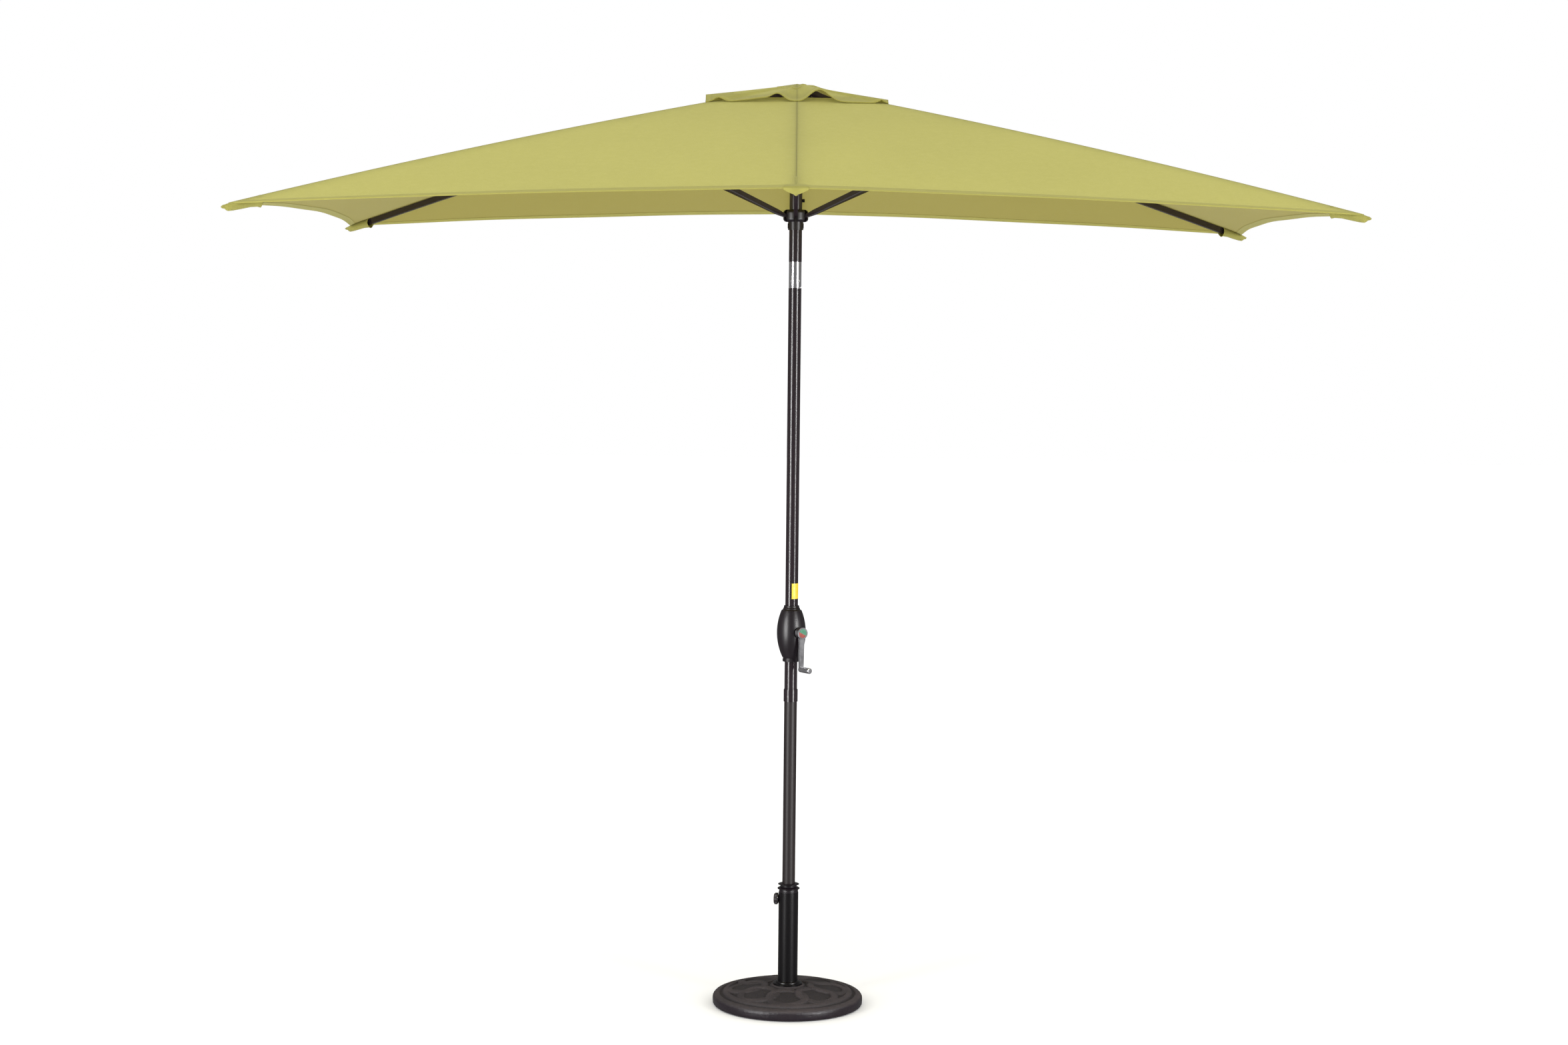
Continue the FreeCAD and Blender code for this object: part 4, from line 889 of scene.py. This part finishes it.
def base_disc():
    """Cast disc with the raised pattern, a plain rim and a hollow for the tube's foot."""
    low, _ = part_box("base_disc")
    hole = FOOT_HOLE_R
    profile = [(0.034, low.z), (0.034, 0.017), (hole, 0.017), (hole, 0.0585), (0.031, 0.0600)]
    top_wide = BASE_R - RIM_ROUND - TOP_START_R
    for step in range(TOP_STEPS + 1):
        profile.append((TOP_START_R + top_wide * step / TOP_STEPS, None))
    for degrees in range(10, 91, 10):
        angle = math.radians(degrees)
        out = BASE_R - RIM_ROUND + RIM_ROUND * math.sin(angle)
        profile.append((out, 0.020 + 0.013 * math.cos(angle)))
    profile += [(BASE_R, 0.012), (BASE_R - 0.0004, low.z + 0.004), (BASE_R - 0.002, low.z + 0.0012),
                (BASE_R - 0.005, low.z)]
    vertices, heights = [], []
    for radius, z in profile:
        for step in range(BASE_SEGMENTS):
            x, y = ring_point(radius, step, BASE_SEGMENTS)
            if z is None:
                fade = smooth((radius - COLLAR_R) / 0.008)
                fade *= smooth((BASE_R - 0.018 - radius) / 0.007)
                raised = relief(x, y)
                height = dome_z(max(radius, COLLAR_R))
                height += (raised * RIBBON_HIGH - RIBBON_SUNK) * fade
                vertices.append(Vector((x, y, height)))
                # The relief map: 1 on the raised bands and plain parts, lower in the recesses,
                # where the stone look paints shade.
                heights.append((1 - (1 - raised) * fade, 0.5))
            else:
                vertices.append(Vector((x, y, z)))
                heights.append((1.0, 0.5))
    faces = turned_faces(len(profile), BASE_SEGMENTS)
    piece = mesh_piece("cast_base", vertices, faces, looks["base_stone"], "base",
                       uvs={"relief": heights}, closed=True)
    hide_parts("base_disc")
    return piece


CLAMP_AZIMUTH = -100
CLAMP_Z = 0.318
WASHER_SEGMENTS = 48
# radius of the washer, distance from the pole's axis
WASHER_PROFILE = [(0.0095, 0.0306), (0.0128, 0.0306), (0.0131, 0.0309), (0.0131, 0.0321),
                  (0.0128, 0.0324), (0.0095, 0.0324)]


def clamp_washer():
    """Pale washer round the clamp's nut, between the tube and the knob."""
    axis, across = direction(CLAMP_AZIMUTH), sideways(CLAMP_AZIMUTH)
    vertices = []
    for radius, out in WASHER_PROFILE:
        for step in range(WASHER_SEGMENTS):
            aside, up = ring_point(radius, step, WASHER_SEGMENTS)
            point = axis * out + across * aside
            point.z = CLAMP_Z + up
            vertices.append(point)
    faces = turned_faces(len(WASHER_PROFILE), WASHER_SEGMENTS)
    piece = mesh_piece("clamp_washer", vertices, faces, looks["plain_steel"], "base",
                       shade_smooth=False, closed=True)
    return piece


CORD_R = 0.00125
CORD_SEGMENTS = 12
CORD_TWIST = 0.009
CORD_STEP = 0.0015


def stretched_cord():
    """Twisted run of lift cord from the sheave down to the runner."""
    low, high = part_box("lift_cord_outer")
    centre = (low + high) / 2
    count = int((high.z - low.z) / CORD_STEP)
    vertices = []
    for row in range(count + 1):
        z = low.z + (high.z - low.z) * row / count
        turned = 2 * math.pi * (z - low.z) / CORD_TWIST
        for step in range(CORD_SEGMENTS):
            angle = 2 * math.pi * step / CORD_SEGMENTS
            strand = 0.86 + 0.14 * abs(math.cos(1.5 * (angle - turned)))
            x, y = ring_point(CORD_R * strand, step, CORD_SEGMENTS)
            vertices.append(Vector((centre.x + x, centre.y + y, z)))
    faces = grid_faces(count + 1, CORD_SEGMENTS, closed=True)
    faces.append(tuple(reversed(range(CORD_SEGMENTS))))
    faces.append(tuple(count * CORD_SEGMENTS + step for step in range(CORD_SEGMENTS)))
    piece = mesh_piece("lift_cord_run", vertices, faces, looks["lift_cord"], None, closed=True)
    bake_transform(piece)
    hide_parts("lift_cord_outer")
    return piece


base_disc()
clamp_washer()
stretched_cord()


# ---- floor, light and camera ---------------------------------------------------------------
def area_light(name, place, aim, size, power, in_reflections=False):
    """A soft panel of light: seen only in reflections, or lighting only the surfaces."""
    lamp = bpy.data.lights.new(name, "AREA")
    lamp.shape = "RECTANGLE"
    lamp.size, lamp.size_y = size
    lamp.energy = power
    light = bpy.data.objects.new(name, lamp)
    light.location = place
    light.rotation_euler = (Vector(aim) - Vector(place)).to_track_quat("-Z", "Y").to_euler()
    light.visible_camera = False
    light.visible_diffuse = not in_reflections
    light.visible_glossy = in_reflections
    bpy.context.scene.collection.objects.link(light)
    return light


FLOOR_HALF = 30
floor = mesh_piece("floor", [(-FLOOR_HALF, -FLOOR_HALF, 0), (FLOOR_HALF, -FLOOR_HALF, 0),
                             (FLOOR_HALF, FLOOR_HALF, 0), (-FLOOR_HALF, FLOOR_HALF, 0)],
                   [(0, 1, 2, 3)], floor_look(), None, shade_smooth=False)
floor.visible_glossy = False

LIGHT_FAR = 4.2
LIGHT_Z = 1.5
LIGHT_TALL = 3.0
# name, azimuth, width, power, seen only in reflections
STRIPS = [
    ("left_strip", -45, 0.55, 54, False),
    ("right_strip", 46, 0.55, 44, False),
    ("left_glint", -45, 1.05, 230, True),
    ("right_glint", 46, 0.90, 240, True),
]
for name, azimuth, wide, power, in_reflections in STRIPS:
    place = direction(azimuth) * LIGHT_FAR
    area_light(name, (place.x, place.y, LIGHT_Z), (0, 0, 1.4), (wide, LIGHT_TALL), power,
               in_reflections)
area_light("overhead", (0, -2.6, 6.5), (0, 0, 2.2), (7.0, 4.0), 60)

# The room is white to the eye and for soft light, and dimmer in reflections.
ROOM_LIGHT, ROOM_REFLECTED, ROOM_SEEN = 1.15, 0.18, 1.0
world = bpy.data.worlds.new("studio")
world.use_nodes = True
bpy.context.scene.world = world
studio = world.node_tree
ray = studio.nodes.new("ShaderNodeLightPath")
shader = studio.nodes["Background"]
shader.inputs["Strength"].default_value = ROOM_LIGHT
for ray_kind, strength in (("Is Glossy Ray", ROOM_REFLECTED), ("Is Camera Ray", ROOM_SEEN)):
    seen = studio.nodes.new("ShaderNodeBackground")
    seen.inputs["Color"].default_value = (1, 1, 1, 1)
    seen.inputs["Strength"].default_value = strength
    choice = studio.nodes.new("ShaderNodeMixShader")
    studio.links.new(ray.outputs[ray_kind], choice.inputs[0])
    studio.links.new(shader.outputs[0], choice.inputs[1])
    studio.links.new(seen.outputs["Background"], choice.inputs[2])
    shader = choice
studio.nodes["Background"].inputs["Color"].default_value = (1, 1, 1, 1)
studio.links.new(shader.outputs["Shader"], studio.nodes["World Output"].inputs["Surface"])

CAMERA_LENS = 63.03
CAMERA_PLACE = (0, -8.1316, 2.0913)
CAMERA_PITCH, CAMERA_YAW, CAMERA_ROLL = 0.0784, 0.0031, 0.0105
camera_data = bpy.data.cameras.new("camera")
camera_data.sensor_width = 36
camera_data.lens = CAMERA_LENS
camera = bpy.data.objects.new("camera", camera_data)
bpy.context.scene.collection.objects.link(camera)
turn = Matrix.Rotation(CAMERA_YAW, 4, "Z")
tilt = Matrix.Rotation(math.pi / 2 - CAMERA_PITCH, 4, "X")
roll = Matrix.Rotation(CAMERA_ROLL, 4, "Z")
camera.matrix_world = Matrix.Translation(CAMERA_PLACE) @ turn @ tilt @ roll
bpy.context.scene.camera = camera
bpy.context.scene.view_settings.view_transform = "Standard"
